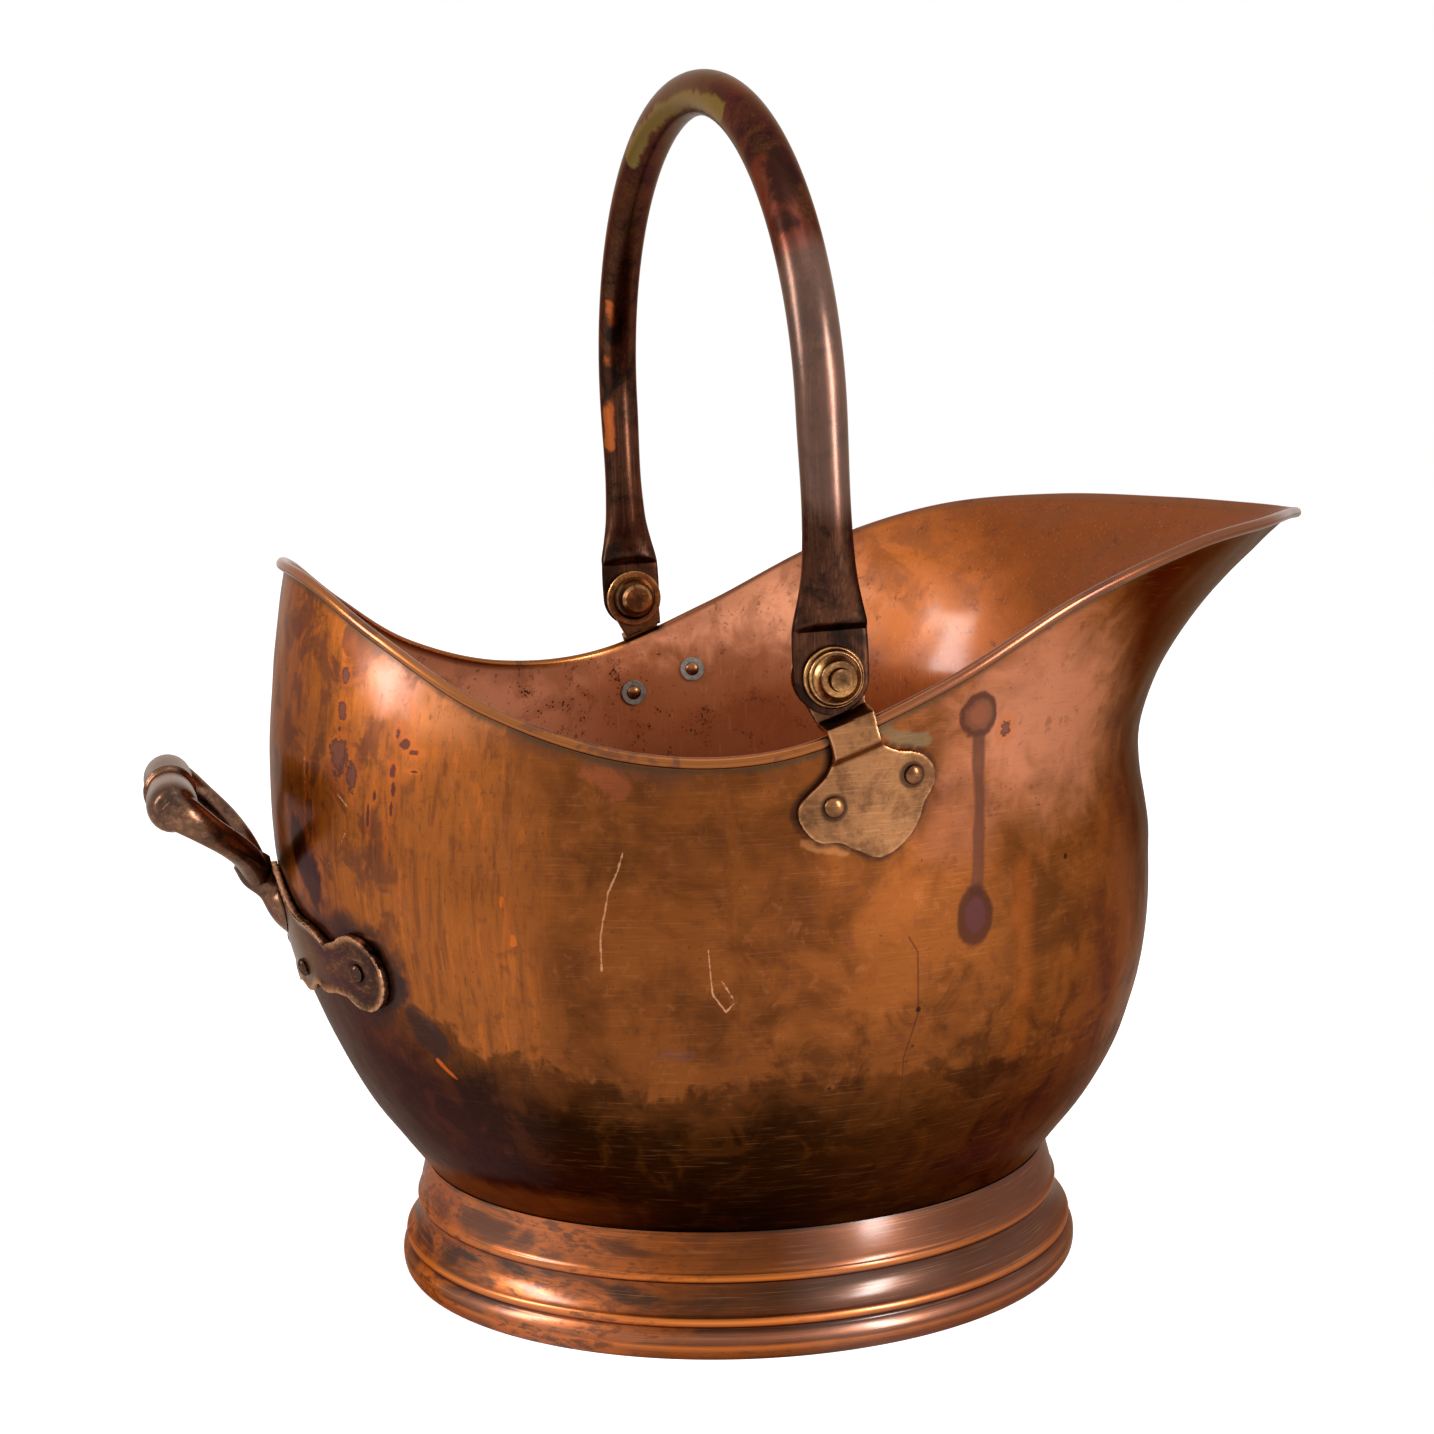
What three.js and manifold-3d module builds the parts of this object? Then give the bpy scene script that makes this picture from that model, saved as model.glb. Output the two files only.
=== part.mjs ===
// A copper helmet coal scuttle in millimetres, +Z up, with its spout along +X and its bail upright.
import * as THREE from "three";
import { mergeVertices } from "three/addons/utils/BufferGeometryUtils.js";
import Module from "manifold-3d";

const wasm = await Module();
wasm.setup();

// Fits shared by all pieces
const seatGap = 0.3; // between faces that touch on the real object
const overrun = 6; // how far a cutter runs past what it cuts
const turnSegments = 48; // facets round the bowl, the pan and the foot
const smallSegments = 12; // facets round rivets and pins, twice as many round bosses
const weldTolerance = 1e-4; // points closer than this are one

// Bowl, raised from sheet: a round neck below, an egg-shaped rim above
const sheet = 0.8;
const neckRadius = 115;
const rearReach = 156;
const spoutReach = 225.3;
const rimHalfWidth = 159.8;
const rimDipHeight = 205.5;
const spoutHeight = 266.3;
// Thirteen rim stations from the rear peak to the spout tip, at equal steps:
// length as a share of the reach on its side, half width, and height between the dip and the spout
const rimShares = [
  [-1, 0, 0.94],
  [-0.96, 0.25, 0.88],
  [-0.84, 0.49, 0.6],
  [-0.65, 0.71, 0.25],
  [-0.39, 0.89, 0.02],
  [-0.1, 0.985, 0.02],
  [0.15, 1, 0.31],
  [0.37, 0.945, 0.7],
  [0.575, 0.84, 0.935],
  [0.755, 0.635, 1],
  [0.89, 0.34, 0.985],
  [0.973, 0.135, 0.955],
  [1, 0, 0.94],
];
// Ovals of the wall between neck and rim: share of the height, then of the rear reach, the spout
// reach and the half width
const ovalShares = [
  [0.12, 0.862, 0.605, 0.833],
  [0.3, 0.981, 0.673, 0.939],
  [0.5, 1.045, 0.689, 0.972],
  [0.7, 1.053, 0.68, 0.98],
  [0.87, 1.025, 0.787, 0.986],
];
const tuckStep = 1.4; // the bowl's lower edge steps in to sit inside the foot
const tuckDepth = 8;
const wallRows = 10;

// Iron wire rolled into the rim
const wireRadius = 0.8;
const rollStart = 180;
const rollEnd = -125;
const rollSteps = 6;
const wireSides = 6;

// Foot, spun hollow from sheet, with a turned-in flange to stand on
const footSpread = 10.6; // from the neck out to the base roll
const footHeight = 40.5;
const footSheet = 1.1;
const footFlange = 6;
// Its outer side from the neck down: share of the spread, share of the height
const footShares = [
  [0, 1],
  [0.13, 0.88],
  [0.24, 0.76],
  [0.29, 0.685],
  [0.39, 0.66],
  [0.39, 0.61],
  [0.3, 0.585],
  [0.34, 0.5],
  [0.48, 0.42],
  [0.68, 0.355],
  [0.84, 0.325],
  [0.85, 0.28],
  [0.75, 0.245],
  [0.87, 0.215],
  [0.985, 0.16],
  [1, 0.1],
  [0.97, 0.03],
  [0.89, 0],
];

// Its inner side, one sheet further in, follows only the main steps
const footInnerShares = [
  [0, 1],
  [0.29, 0.685],
  [0.3, 0.585],
  [0.48, 0.42],
  [0.84, 0.325],
  [0.75, 0.245],
  [0.985, 0.16],
  [0.97, 0.03],
];

// Pan that closes the bowl, dished upwards
const panFlange = 6;
const panDish = 5;
const panCornerShare = 0.96;

// Pivots and ears
const pivotX = 0;
const pinRadius = 3.5;
const pinEnd = 3;
const earLean = 18; // degrees from upright, square to the rim there
const earThickness = 2.6;
const eyeRadius = 10.2;
const earNeckHalf = 8;
const earHalfWidth = 23.9;
const earDrop = 60.8;
const earRivetHalf = 13.6;
const earRivetDrop = 38.4;
const earLedge = 1.8; // thickness of the ear where it steps out over the bead
const earStepDrop = 1.4; // drop of that step
const earReturn = 5; // drop over which it comes back to the wall below the bead
const earColumns = 8;
const earRows = 4;
// Half outline of the ear below its neck: share of the half width, share of the drop
const earShares = [
  [0.36, 0.43],
  [0.5, 0.485],
  [0.7, 0.52],
  [0.9, 0.552],
  [1, 0.62],
  [0.97, 0.7],
  [0.81, 0.785],
  [0.64, 0.82],
  [0.52, 0.87],
  [0.36, 0.935],
  [0.16, 0.985],
  [0, 1],
];

// Rivets and the roves they are clenched over
const rivetShank = 1.9;
const rivetHead = 3.3;
const rivetDome = 1.9;
const clenchHead = 2.9;
const clenchDome = 1.3;
const roveRadius = 5.1;
const roveThickness = 0.9;

// Rose boss outside each strap, washer and button inside each eye
const roseRadius = 9.9;
const roseHeight = 8.6;
// Half section of the rose from its seat outwards: share of the radius, share of the height
const roseShares = [
  [1, 0],
  [1, 0.17],
  [0.93, 0.26],
  [0.89, 0.24],
  [0.87, 0.42],
  [0.8, 0.5],
  [0.76, 0.47],
  [0.62, 0.74],
  [0.6, 0.92],
  [0.53, 1],
];
const washerRadius = 11.5;
const washerThickness = 1.5;
const hubRadius = 9;
const hubHeight = 3.6;
const hubShare = 0.84; // the hub's top as a share of its radius
const buttonRadius = 6.3;
const buttonHeight = 4.2;

// Bail: a round bar bent to an arch, its ends forged to straps
const bailLean = -1; // degrees from upright, towards the rear
const barRadius = 7.9;
const barOffset = 1.5; // from the strap's outer face out to the bar's axis
const bailRise = 192.1;
const bailStraight = 81.9;
const strapInset = 0.8; // from the bead's centre line in to the strap's outer face
const strapHalfWidth = 12;
const strapThickness = 3.2;
const shoulderRise = 17;
const shoulderHalfWidth = 11.7;
const shoulderInside = 1.3; // past the strap's inner face
const shoulderOutside = 3.4; // past its outer face
const flareRise = 42;
const archSteps = 15;
const barSides = 12;
const strapSquareness = 5;
const shoulderSquareness = 3;
// Rings of the strap's round end: share of the half width below the pin
const strapEndShares = [0.97, 0.85, 0.6, 0.3, 0];

// Rear handle: a stirrup with a turned grip, its stem flared to a trumpet foot on the rear plate
const gripRadius = 8.8;
const gripHalfLength = 44;
const gripBehind = 44; // from the rear rim back to the grip's axis
const gripHeight = 184.5;
const gripBead = 9.6;
const gripBeadHalf = 1.5;
// Half of the grip from its middle out: share of the half length, share of the radius
const gripShares = [
  [0.12, 0.9],
  [0.3, 0.95],
  [0.55, 1],
  [0.8, 1],
  [0.93, 0.88],
  [1, 0.6],
  [1.03, 0],
];
const armRadius = 4.9;
const armElbowRadius = 7;
const collarStand = 8; // from the wall out to the collar's axis
const collarHeight = 154;
const collarRadius = 6.9;
const stemRadius = 6;
// One arm from elbow to collar: share of the way down, of the grip's half length, of the flare,
// and how far it is arched up as a share of the way
const armShares = [
  [-0.02, 0.88, 1, 0],
  [0.12, 0.92, 0.75, 0.03],
  [0.34, 0.86, 0.2, 0.06],
  [0.58, 0.66, 0, 0.08],
  [0.8, 0.36, 0, 0.06],
  [1, 0.1, 0, 0],
];
const armSteps = 9;
const armSides = 8;
const stemSteps = 10;
const stemSides = 12;
const trumpetHalfWidth = 17;
const trumpetHalfHeight = 12;
const trumpetHeight = 143;

// Rear plate, bent round the back of the bowl
const plateThickness = 2;
const plateLobeOut = 74;
const plateLobeHeight = 131;
const plateLobeRadius = 13;
const plateTop = 157;
const plateBottom = 113.5;
const plateColumns = 16;
const plateRows = 4;
const lobeOpening = 130; // degrees either side of the lobe's outward end
const lobeSteps = 10;
const innerRivetOut = 26;
const innerRivetHeight = 124;
// Upper edge from the middle to the cusp, then lower edge back: share of the reach and of the height
const plateTopShares = [
  [0, 1],
  [0.18, 0.96],
  [0.34, 0.78],
  [0.5, 0.69],
  [0.7, 0.67],
  [0.84, 0.57],
];
const plateBottomShares = [
  [0.86, 0.18],
  [0.7, 0.13],
  [0.6, 0.2],
  [0.42, 0.03],
  [0.2, 0.1],
  [0, 0],
];

// Finishes
const copper = { color: 0x9a5526, roughness: 0.38, metalness: 0.9 };
const darkCopper = { color: 0x5a3420, roughness: 0.4, metalness: 0.9 };
const bronze = { color: 0x4a3424, roughness: 0.35, metalness: 0.9 };
const brass = { color: 0xa9803f, roughness: 0.35, metalness: 0.9 };
const iron = { color: 0x3c3a38, roughness: 0.6, metalness: 0.8 };

// Heights and places that follow from the sizes above
const neckHeight = footHeight + 2 * seatGap;
const rollInner = wireRadius + seatGap;
const rollOuter = rollInner + sheet;
const strapOuter = rimHalfWidth - strapInset;
const strapFace = strapOuter - strapThickness;
const eyeFace = strapFace - seatGap - earThickness; // inner face of an ear's eye
const crestFace = rimHalfWidth + rollOuter + seatGap; // inner face of the ear where it passes the bead
const bailHalfSpan = strapOuter + barOffset;
const pinHole = pinRadius + seatGap;
const rivetHole = rivetShank + seatGap;
// Room where a flat disc meets the facets of the bowl: one and a half times the depth of a facet
const facetGap = 1.5 * rimHalfWidth * (1 - Math.cos(Math.PI / turnSegments));
const degree = Math.PI / 180;
const vector = (x, y, z) => new THREE.Vector3(x, y, z);

// Smooth value through knots, with a slope at each knot taken from its neighbours
function through(knots, values, at) {
  const last = knots.length - 1;
  let i = 0;
  while (i < last - 1 && at > knots[i + 1]) i += 1;
  const rise = (k) => (values[k + 1] - values[k]) / (knots[k + 1] - knots[k]);
  const slope = (k) => {
    if (k === 0) return rise(0);
    if (k === last) return rise(last - 1);
    const before = knots[k] - knots[k - 1];
    const after = knots[k + 1] - knots[k];
    return (rise(k - 1) * after + rise(k) * before) / (before + after);
  };
  const step = knots[i + 1] - knots[i];
  const u = (at - knots[i]) / step;
  const a = 2 * u ** 3 - 3 * u ** 2 + 1;
  const b = u ** 3 - 2 * u ** 2 + u;
  const c = 3 * u ** 2 - 2 * u ** 3;
  const d = u ** 3 - u ** 2;
  return a * values[i] + b * step * slope(i) + c * values[i + 1] + d * step * slope(i + 1);
}

// Centre line of the rim's bead: angle 0 at the rear peak, half a turn at the spout tip, +Y in between
const rimCurve = (() => {
  const stations = rimShares.map(([length, width, height]) =>
    vector(
      length * (length < 0 ? rearReach : spoutReach),
      width * rimHalfWidth,
      rimDipHeight + height * (spoutHeight - rimDipHeight),
    ),
  );
  const mirrored = stations.slice(1, -1).reverse();
  const back = mirrored.map((p) => vector(p.x, -p.y, p.z));
  return new THREE.CatmullRomCurve3([...stations, ...back], true, "catmullrom", 0.5);
})();
const turn = 2 * Math.PI;
const rimPoint = (angle) => rimCurve.getPoint((((angle % turn) + turn) % turn) / turn);

const wallKnots = [0, ...ovalShares.map(([share]) => share), 1];

// A point of the bowl's outer face: angle as on the rim, share 0 at the neck and 1 at the rim
function wallThrough(angle, share, top) {
  const c = Math.cos(angle);
  const s = Math.sin(angle);
  const xs = [-neckRadius * c];
  const ys = [neckRadius * s];
  for (const [, rear, front, side] of ovalShares) {
    const back = rear * rearReach;
    const fore = front * spoutReach;
    xs.push((fore - back) / 2 - ((fore + back) / 2) * c);
    ys.push(side * rimHalfWidth * s);
  }
  xs.push(top.x);
  ys.push(top.y);
  const z = neckHeight + share * (top.z - neckHeight);
  return vector(through(wallKnots, xs, share), through(wallKnots, ys, share), z);
}

// Height of the bead's centre line over a place along the length
function rimHeight(x) {
  let low = 0;
  let high = Math.PI;
  for (let i = 0; i < 30; i += 1) {
    const middle = (low + high) / 2;
    if (rimPoint(middle).x < x) low = middle;
    else high = middle;
  }
  return rimPoint(low).z;
}

// The pivot stands clear of the bead by the strap's round end and the step of the ear below it
const lean = earLean * degree;
const stepDrop = strapHalfWidth + 2 * seatGap + earLedge + earStepDrop;
const beadBelow = stepDrop + 2 * seatGap + rollOuter;
const pivotHeight = rimHeight(pivotX) + beadBelow / Math.cos(lean);

// Directions at the rim: outwards from the wall, and up along it
const angleStep = turn / turnSegments / 4;
const shareStep = 0.02;
function rimFrame(angle) {
  const bead = rimPoint(angle);
  const along = rimPoint(angle + angleStep).sub(rimPoint(angle - angleStep)).normalize();
  const up = bead.clone().sub(wallThrough(angle, 1 - 2 * shareStep, bead)).normalize();
  const out = up.clone().cross(along).normalize();
  return { bead, out, up: along.cross(out).normalize() };
}

function wall(angle, share) {
  const { bead, out } = rimFrame(angle);
  return wallThrough(angle, share, bead.addScaledVector(out, -rollInner));
}

function wallNormal(angle, share) {
  const low = Math.max(share - shareStep, 0);
  const high = Math.min(share + shareStep, 1);
  const round = wall(angle + angleStep, share).sub(wall(angle - angleStep, share));
  const rise = wall(angle, high).sub(wall(angle, low));
  return rise.cross(round).normalize();
}

// The wall's height share at an angle for a height in millimetres
const shareAt = (angle, z) =>
  Math.min(Math.max((z - neckHeight) / (wall(angle, 1).z - neckHeight), 0), 1);

// Where the wall is at a height: the angle at which one coordinate has the wanted value
function wallAngle(z, wanted, axis, from, to) {
  let low = from;
  let high = to;
  for (let i = 0; i < 30; i += 1) {
    const middle = (low + high) / 2;
    if (wall(middle, shareAt(middle, z))[axis] < wanted) low = middle;
    else high = middle;
  }
  return (low + high) / 2;
}

function sideOfWall(x, z) {
  const angle = wallAngle(z, x, "x", 0, Math.PI);
  return wall(angle, shareAt(angle, z)).y;
}

function rearOfWall(y, z) {
  const angle = wallAngle(z, Math.abs(y), "y", 0, Math.PI / 2);
  return -wall(angle, shareAt(angle, z)).x;
}

// Closed mesh from rings of points; an open run of rings is closed by a cap at each end
function skin(rings, closedRun) {
  const count = rings[0].length;
  const vertices = rings.flat().flatMap((p) => [p.x, p.y, p.z]);
  const faces = [];
  const runs = closedRun ? rings.length : rings.length - 1;
  for (let i = 0; i < runs; i += 1) {
    const next = (i + 1) % rings.length;
    for (let j = 0; j < count; j += 1) {
      const beside = (j + 1) % count;
      const [a, b] = [i * count + j, i * count + beside];
      const [c, d] = [next * count + beside, next * count + j];
      faces.push(a, b, c, a, c, d);
    }
  }
  if (!closedRun) {
    const last = (rings.length - 1) * count;
    for (let j = 1; j < count - 1; j += 1) {
      faces.push(0, j + 1, j);
      faces.push(last, last + j, last + j + 1);
    }
  }
  const geometry = new THREE.BufferGeometry();
  geometry.setAttribute("position", new THREE.Float32BufferAttribute(vertices, 3));
  geometry.setIndex(faces);
  return geometry;
}

// Geometry to solid and back
function solid(geometry) {
  const bare = geometry.clone();
  for (const name of ["normal", "uv"]) bare.deleteAttribute(name);
  const merged = mergeVertices(bare, weldTolerance);
  const make = (triVerts) =>
    new wasm.Manifold(
      new wasm.Mesh({ numProp: 3, vertProperties: merged.attributes.position.array, triVerts }),
    );
  const triVerts = new Uint32Array(merged.index.array);
  const made = make(triVerts);
  if (made.volume() > 0) return made;
  for (let i = 0; i < triVerts.length; i += 3) {
    [triVerts[i + 1], triVerts[i + 2]] = [triVerts[i + 2], triVerts[i + 1]];
  }
  return make(triVerts);
}

function geometryOf(body) {
  const mesh = body.getMesh();
  const geometry = new THREE.BufferGeometry();
  geometry.setAttribute("position", new THREE.BufferAttribute(mesh.vertProperties, 3));
  geometry.setIndex(new THREE.BufferAttribute(mesh.triVerts, 1));
  const faceted = geometry.toNonIndexed();
  faceted.computeVertexNormals();
  return faceted;
}

const scuttle = new THREE.Group();

function add(name, geometry, finish, parent = scuttle) {
  const mesh = new THREE.Mesh(geometry, new THREE.MeshStandardMaterial(finish));
  mesh.name = name;
  parent.add(mesh);
  return mesh;
}

// A turned piece along +Z from its half section, which starts and ends on the axis
function turned(points, segments = smallSegments) {
  const outline = points.map(([r, z]) => new THREE.Vector2(r, z));
  return new THREE.LatheGeometry(outline, segments).rotateX(Math.PI / 2);
}

// A cylinder along a line, for cutting holes
function rod(from, direction, radius, length) {
  const geometry = new THREE.CylinderGeometry(radius, radius, length, smallSegments);
  const spin = new THREE.Quaternion().setFromUnitVectors(vector(0, 1, 0), direction);
  return solid(geometry.applyQuaternion(spin).translate(from.x, from.y, from.z));
}

// Places on the wall where rivets pass: a point of its outer face and the way out of it
const earPoint = (across, drop) => ({
  x: pivotX + across * Math.cos(lean) + drop * Math.sin(lean),
  z: pivotHeight + across * Math.sin(lean) - drop * Math.cos(lean),
});

const rivetSeats = [];
for (const [side, sign] of [["near", -1], ["far", 1]]) {
  for (const [end, across] of [["rear", -earRivetHalf], ["front", earRivetHalf]]) {
    const { x, z } = earPoint(across, earRivetDrop);
    const at = vector(x, sign * sideOfWall(x, z), z);
    const angle = wallAngle(z, x, "x", 0, Math.PI);
    const out = wallNormal(angle, shareAt(angle, z));
    out.y *= sign;
    rivetSeats.push({ name: `${side}_ear_${end}`, at, out, plate: earThickness });
  }
  for (const [place, y, z] of [
    ["inner", innerRivetOut, innerRivetHeight],
    ["lobe", plateLobeOut, plateLobeHeight],
  ]) {
    const angle = wallAngle(z, y, "y", 0, Math.PI / 2);
    const share = shareAt(angle, z);
    const at = wall(angle, share);
    const out = wallNormal(angle, share);
    at.y *= sign;
    out.y *= sign;
    rivetSeats.push({ name: `${side}_plate_${place}`, at, out, plate: plateThickness });
  }
}

const rivetHoles = rivetSeats.map(({ at, out }) => rod(at, out, rivetHole, 4 * overrun));

// Bowl: one ring of wall section for each angle, with the top edge rolled outwards round the wire
function bowlSection(angle) {
  const c = Math.cos(angle);
  const s = Math.sin(angle);
  const round = (r, z) => vector(-r * c, r * s, z);
  const tuckRadius = neckRadius - tuckStep;
  const seat = neckHeight - seatGap;
  const outer = [round(tuckRadius, seat - tuckDepth), round(tuckRadius, seat)];
  const inside = tuckRadius - sheet;
  const inner = [round(inside, seat - tuckDepth), round(inside, seat + sheet / 2)];
  for (let i = 0; i <= wallRows; i += 1) {
    const share = i / wallRows;
    const face = wall(angle, share);
    outer.push(face);
    if (i > 0) inner.push(face.clone().addScaledVector(wallNormal(angle, share), -sheet));
  }
  const { bead, out, up } = rimFrame(angle);
  const onRoll = (radius, degrees) =>
    bead
      .clone()
      .addScaledVector(out, radius * Math.cos(degrees * degree))
      .addScaledVector(up, radius * Math.sin(degrees * degree));
  const roll = [];
  for (let i = 1; i <= rollSteps; i += 1) roll.push(rollStart + ((rollEnd - rollStart) * i) / rollSteps);
  inner.pop();
  return [
    ...outer,
    ...roll.map((a) => onRoll(rollInner, a)),
    ...[...roll].reverse().map((a) => onRoll(rollOuter, a)),
    onRoll(rollOuter, rollStart),
    ...inner.reverse(),
  ];
}

const angles = Array.from({ length: turnSegments }, (_, i) => (i * turn) / turnSegments);
let bowl = solid(skin(angles.map(bowlSection), true));
for (const hole of rivetHoles) bowl = bowl.subtract(hole);
add("body_shell", geometryOf(bowl), copper);

// Wire inside the rolled rim
function wireSection(angle) {
  const { bead, out, up } = rimFrame(angle);
  return Array.from({ length: wireSides }, (_, i) => {
    const a = (i * turn) / wireSides;
    return bead
      .clone()
      .addScaledVector(out, wireRadius * Math.cos(a))
      .addScaledVector(up, wireRadius * Math.sin(a));
  });
}
add("rim_wire", geometryOf(solid(skin(angles.map(wireSection), true))), iron);

// Pan inside the bowl's lower edge
const panRadius = neckRadius - tuckStep - sheet - seatGap;
const panTop = neckHeight - seatGap;
const panSection = [
  [0, panTop + panDish],
  [panRadius * panCornerShare, panTop],
  [panRadius, panTop - sheet],
  [panRadius, panTop - panFlange],
  [panRadius - sheet, panTop - panFlange],
  [panRadius - sheet, panTop - 2 * sheet],
  [panRadius * panCornerShare - sheet, panTop - sheet],
  [0, panTop + panDish - sheet],
];
add("base_pan", geometryOf(solid(turned(panSection, turnSegments))), darkCopper);

// Foot
const onFoot = ([out, height]) => [neckRadius + out * footSpread, height * footHeight];
const footOuter = footShares.map(onFoot);
const footInner = footInnerShares.map(onFoot).map(([r, z]) => [r - footSheet, Math.max(z, footSheet)]);
const flangeRadius = footOuter[footOuter.length - 1][0] - footFlange;
const footSection = [
  ...footOuter,
  [flangeRadius, 0],
  [flangeRadius, footSheet],
  ...footInner.reverse(),
  footOuter[0],
];
add("foot_ring", geometryOf(solid(turned(footSection, turnSegments))), copper);

// Drop from an ear's eye to the bead, at a place across the ear
function beadDrop(across) {
  let low = 0;
  let high = earDrop;
  for (let i = 0; i < 30; i += 1) {
    const middle = (low + high) / 2;
    const { x, z } = earPoint(across, middle);
    if (z > rimHeight(x)) low = middle;
    else high = middle;
  }
  return low;
}

// Ears: a bent slab that steps out below its eye to pass the bead, then comes back to follow the wall
function earSlab(sign) {
  const rings = [];
  for (let i = 0; i <= earColumns; i += 1) {
    const across = THREE.MathUtils.lerp(-earHalfWidth - seatGap, earHalfWidth + seatGap, i / earColumns);
    const bead = beadDrop(across);
    const clear = rollOuter + 2 * seatGap;
    const top = -eyeRadius - seatGap;
    const low = earDrop + seatGap;
    const wallStart = bead + clear + earReturn;
    const inner = [
      [top, eyeFace],
      [bead - clear - earStepDrop, eyeFace],
      [bead - clear, crestFace],
      [bead + clear, crestFace],
    ];
    const outer = [
      [top, eyeFace],
      [bead - clear - earStepDrop - earLedge, eyeFace],
      [bead - clear - earLedge, crestFace],
      [bead + clear + earLedge, crestFace],
    ];
    for (let j = 0; j <= earRows; j += 1) {
      const drop = wallStart + ((low - wallStart) * j) / earRows;
      const { x, z } = earPoint(across, drop);
      inner.push([drop, sideOfWall(x, z) + seatGap]);
      outer.push([drop, sideOfWall(x, z) + seatGap]);
    }
    const face = (rows, out) =>
      rows.map(([drop, y]) => {
        const { x, z } = earPoint(across, drop);
        return vector(x, sign * (y + out), z);
      });
    rings.push([...face(inner, 0), ...face(outer, earThickness).reverse()]);
  }
  return solid(skin(rings, false));
}

function earOutline() {
  const half = earShares.map(([out, drop]) => [out * earHalfWidth, drop * earDrop]);
  const shape = new THREE.Shape();
  const place = ([across, drop]) => {
    const { x, z } = earPoint(across, drop);
    return [x, z];
  };
  const right = [[earNeckHalf, eyeRadius], ...half];
  const left = [...right].reverse().slice(1).map(([across, drop]) => [-across, drop]);
  const eye = [];
  for (let i = 0; i <= smallSegments; i += 1) {
    const a = Math.PI * (1 + i / smallSegments);
    eye.push([eyeRadius * Math.cos(a), eyeRadius * Math.sin(a)]);
  }
  const shoulder = eyeRadius / 2;
  const points = [...right, ...left, [-eyeRadius, shoulder], ...eye, [eyeRadius, shoulder]];
  shape.setFromPoints(points.map(place).map(([x, z]) => new THREE.Vector2(x, z)));
  return shape;
}

function ear(sign) {
  const depth = 2 * overrun + earThickness + crestFace;
  const prism = new THREE.ExtrudeGeometry(earOutline(), { depth, bevelEnabled: false });
  prism.rotateX(Math.PI / 2).translate(0, sign > 0 ? depth + overrun : 0, 0);
  const pinPlace = vector(pivotX, sign * eyeFace, pivotHeight);
  let piece = earSlab(sign).intersect(solid(prism));
  piece = piece.subtract(rod(pinPlace, vector(0, 1, 0), pinHole, 4 * overrun));
  for (const hole of rivetHoles) piece = piece.subtract(hole);
  return piece;
}
add("near_ear", geometryOf(ear(-1)), brass);
add("far_ear", geometryOf(ear(1)), brass);

// Rivets: a domed head outside, a shank through plate, wall and rove, clenched to a low dome inside
function dome(radius, height, base, steps = 3) {
  return Array.from({ length: steps + 1 }, (_, i) => {
    const a = (i / steps) * (Math.PI / 2);
    return [radius * Math.cos(a), base + height * Math.sin(a)];
  });
}

function alongWay(at, out, name) {
  const group = new THREE.Group();
  group.position.copy(at);
  group.quaternion.setFromUnitVectors(vector(0, 0, 1), out);
  group.name = name;
  scuttle.add(group);
  return group;
}

for (const { name, at, out, plate } of rivetSeats) {
  const group = alongWay(at, out, `${name}_place`);
  const headSeat = plate + 2 * seatGap;
  const roveSeat = -sheet - seatGap - facetGap;
  const clenchSeat = roveSeat - roveThickness - seatGap;
  const section = [
    [0, headSeat + rivetDome],
    ...dome(rivetHead, rivetDome, headSeat).reverse().slice(1),
    [rivetShank, headSeat],
    [rivetShank, clenchSeat],
    ...dome(clenchHead, clenchDome, -clenchSeat).map(([r, z]) => [r, -z]).slice(0, -1),
    [0, clenchSeat - clenchDome],
  ];
  add(`${name}_rivet`, geometryOf(solid(turned(section))), brass, group);
  const rove = [
    [rivetHole, roveSeat],
    [roveRadius, roveSeat],
    [roveRadius, roveSeat - roveThickness],
    [rivetHole, roveSeat - roveThickness],
    [rivetHole, roveSeat],
  ];
  add(`${name}_rove`, geometryOf(solid(turned(rove))), iron, group);
}

// Pivots: a pin with a button head inside, a washer under it, and a rose boss on its outer end
for (const [side, sign] of [["near", -1], ["far", 1]]) {
  const place = vector(pivotX, 0, pivotHeight);
  const group = alongWay(place, vector(0, sign, 0), `${side}_pivot_place`);
  const washerOuter = eyeFace - seatGap;
  const washerInner = washerOuter - washerThickness;
  const hubInner = washerInner - hubHeight;
  const buttonSeat = hubInner - seatGap;
  const roseSeat = strapOuter + seatGap;
  const pin = [
    [0, roseSeat + roseHeight + pinEnd],
    [pinRadius, roseSeat + roseHeight + pinEnd],
    [pinRadius, buttonSeat],
    ...dome(buttonRadius, buttonHeight, -buttonSeat).map(([r, z]) => [r, -z]).slice(0, -1),
    [0, buttonSeat - buttonHeight],
  ];
  add(`${side}_pivot_pin`, geometryOf(solid(turned(pin))), brass, group);
  const washer = [
    [pinHole, hubInner],
    [hubRadius * hubShare, hubInner],
    [hubRadius, washerInner],
    [washerRadius, washerInner],
    [washerRadius, washerOuter],
    [pinHole, washerOuter],
    [pinHole, hubInner],
  ];
  add(`${side}_pivot_washer`, geometryOf(solid(turned(washer, 2 * smallSegments))), brass, group);
  const rose = [
    [pinHole, roseSeat],
    ...roseShares.map(([r, z]) => [r * roseRadius, roseSeat + z * roseHeight]),
    [pinHole, roseSeat + roseHeight],
    [pinHole, roseSeat],
  ];
  add(`${side}_pivot_rose`, geometryOf(solid(turned(rose, 2 * smallSegments))), brass, group);
}

const roundSection = 2; // exponent of a round or oval section, higher is squarer

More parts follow.
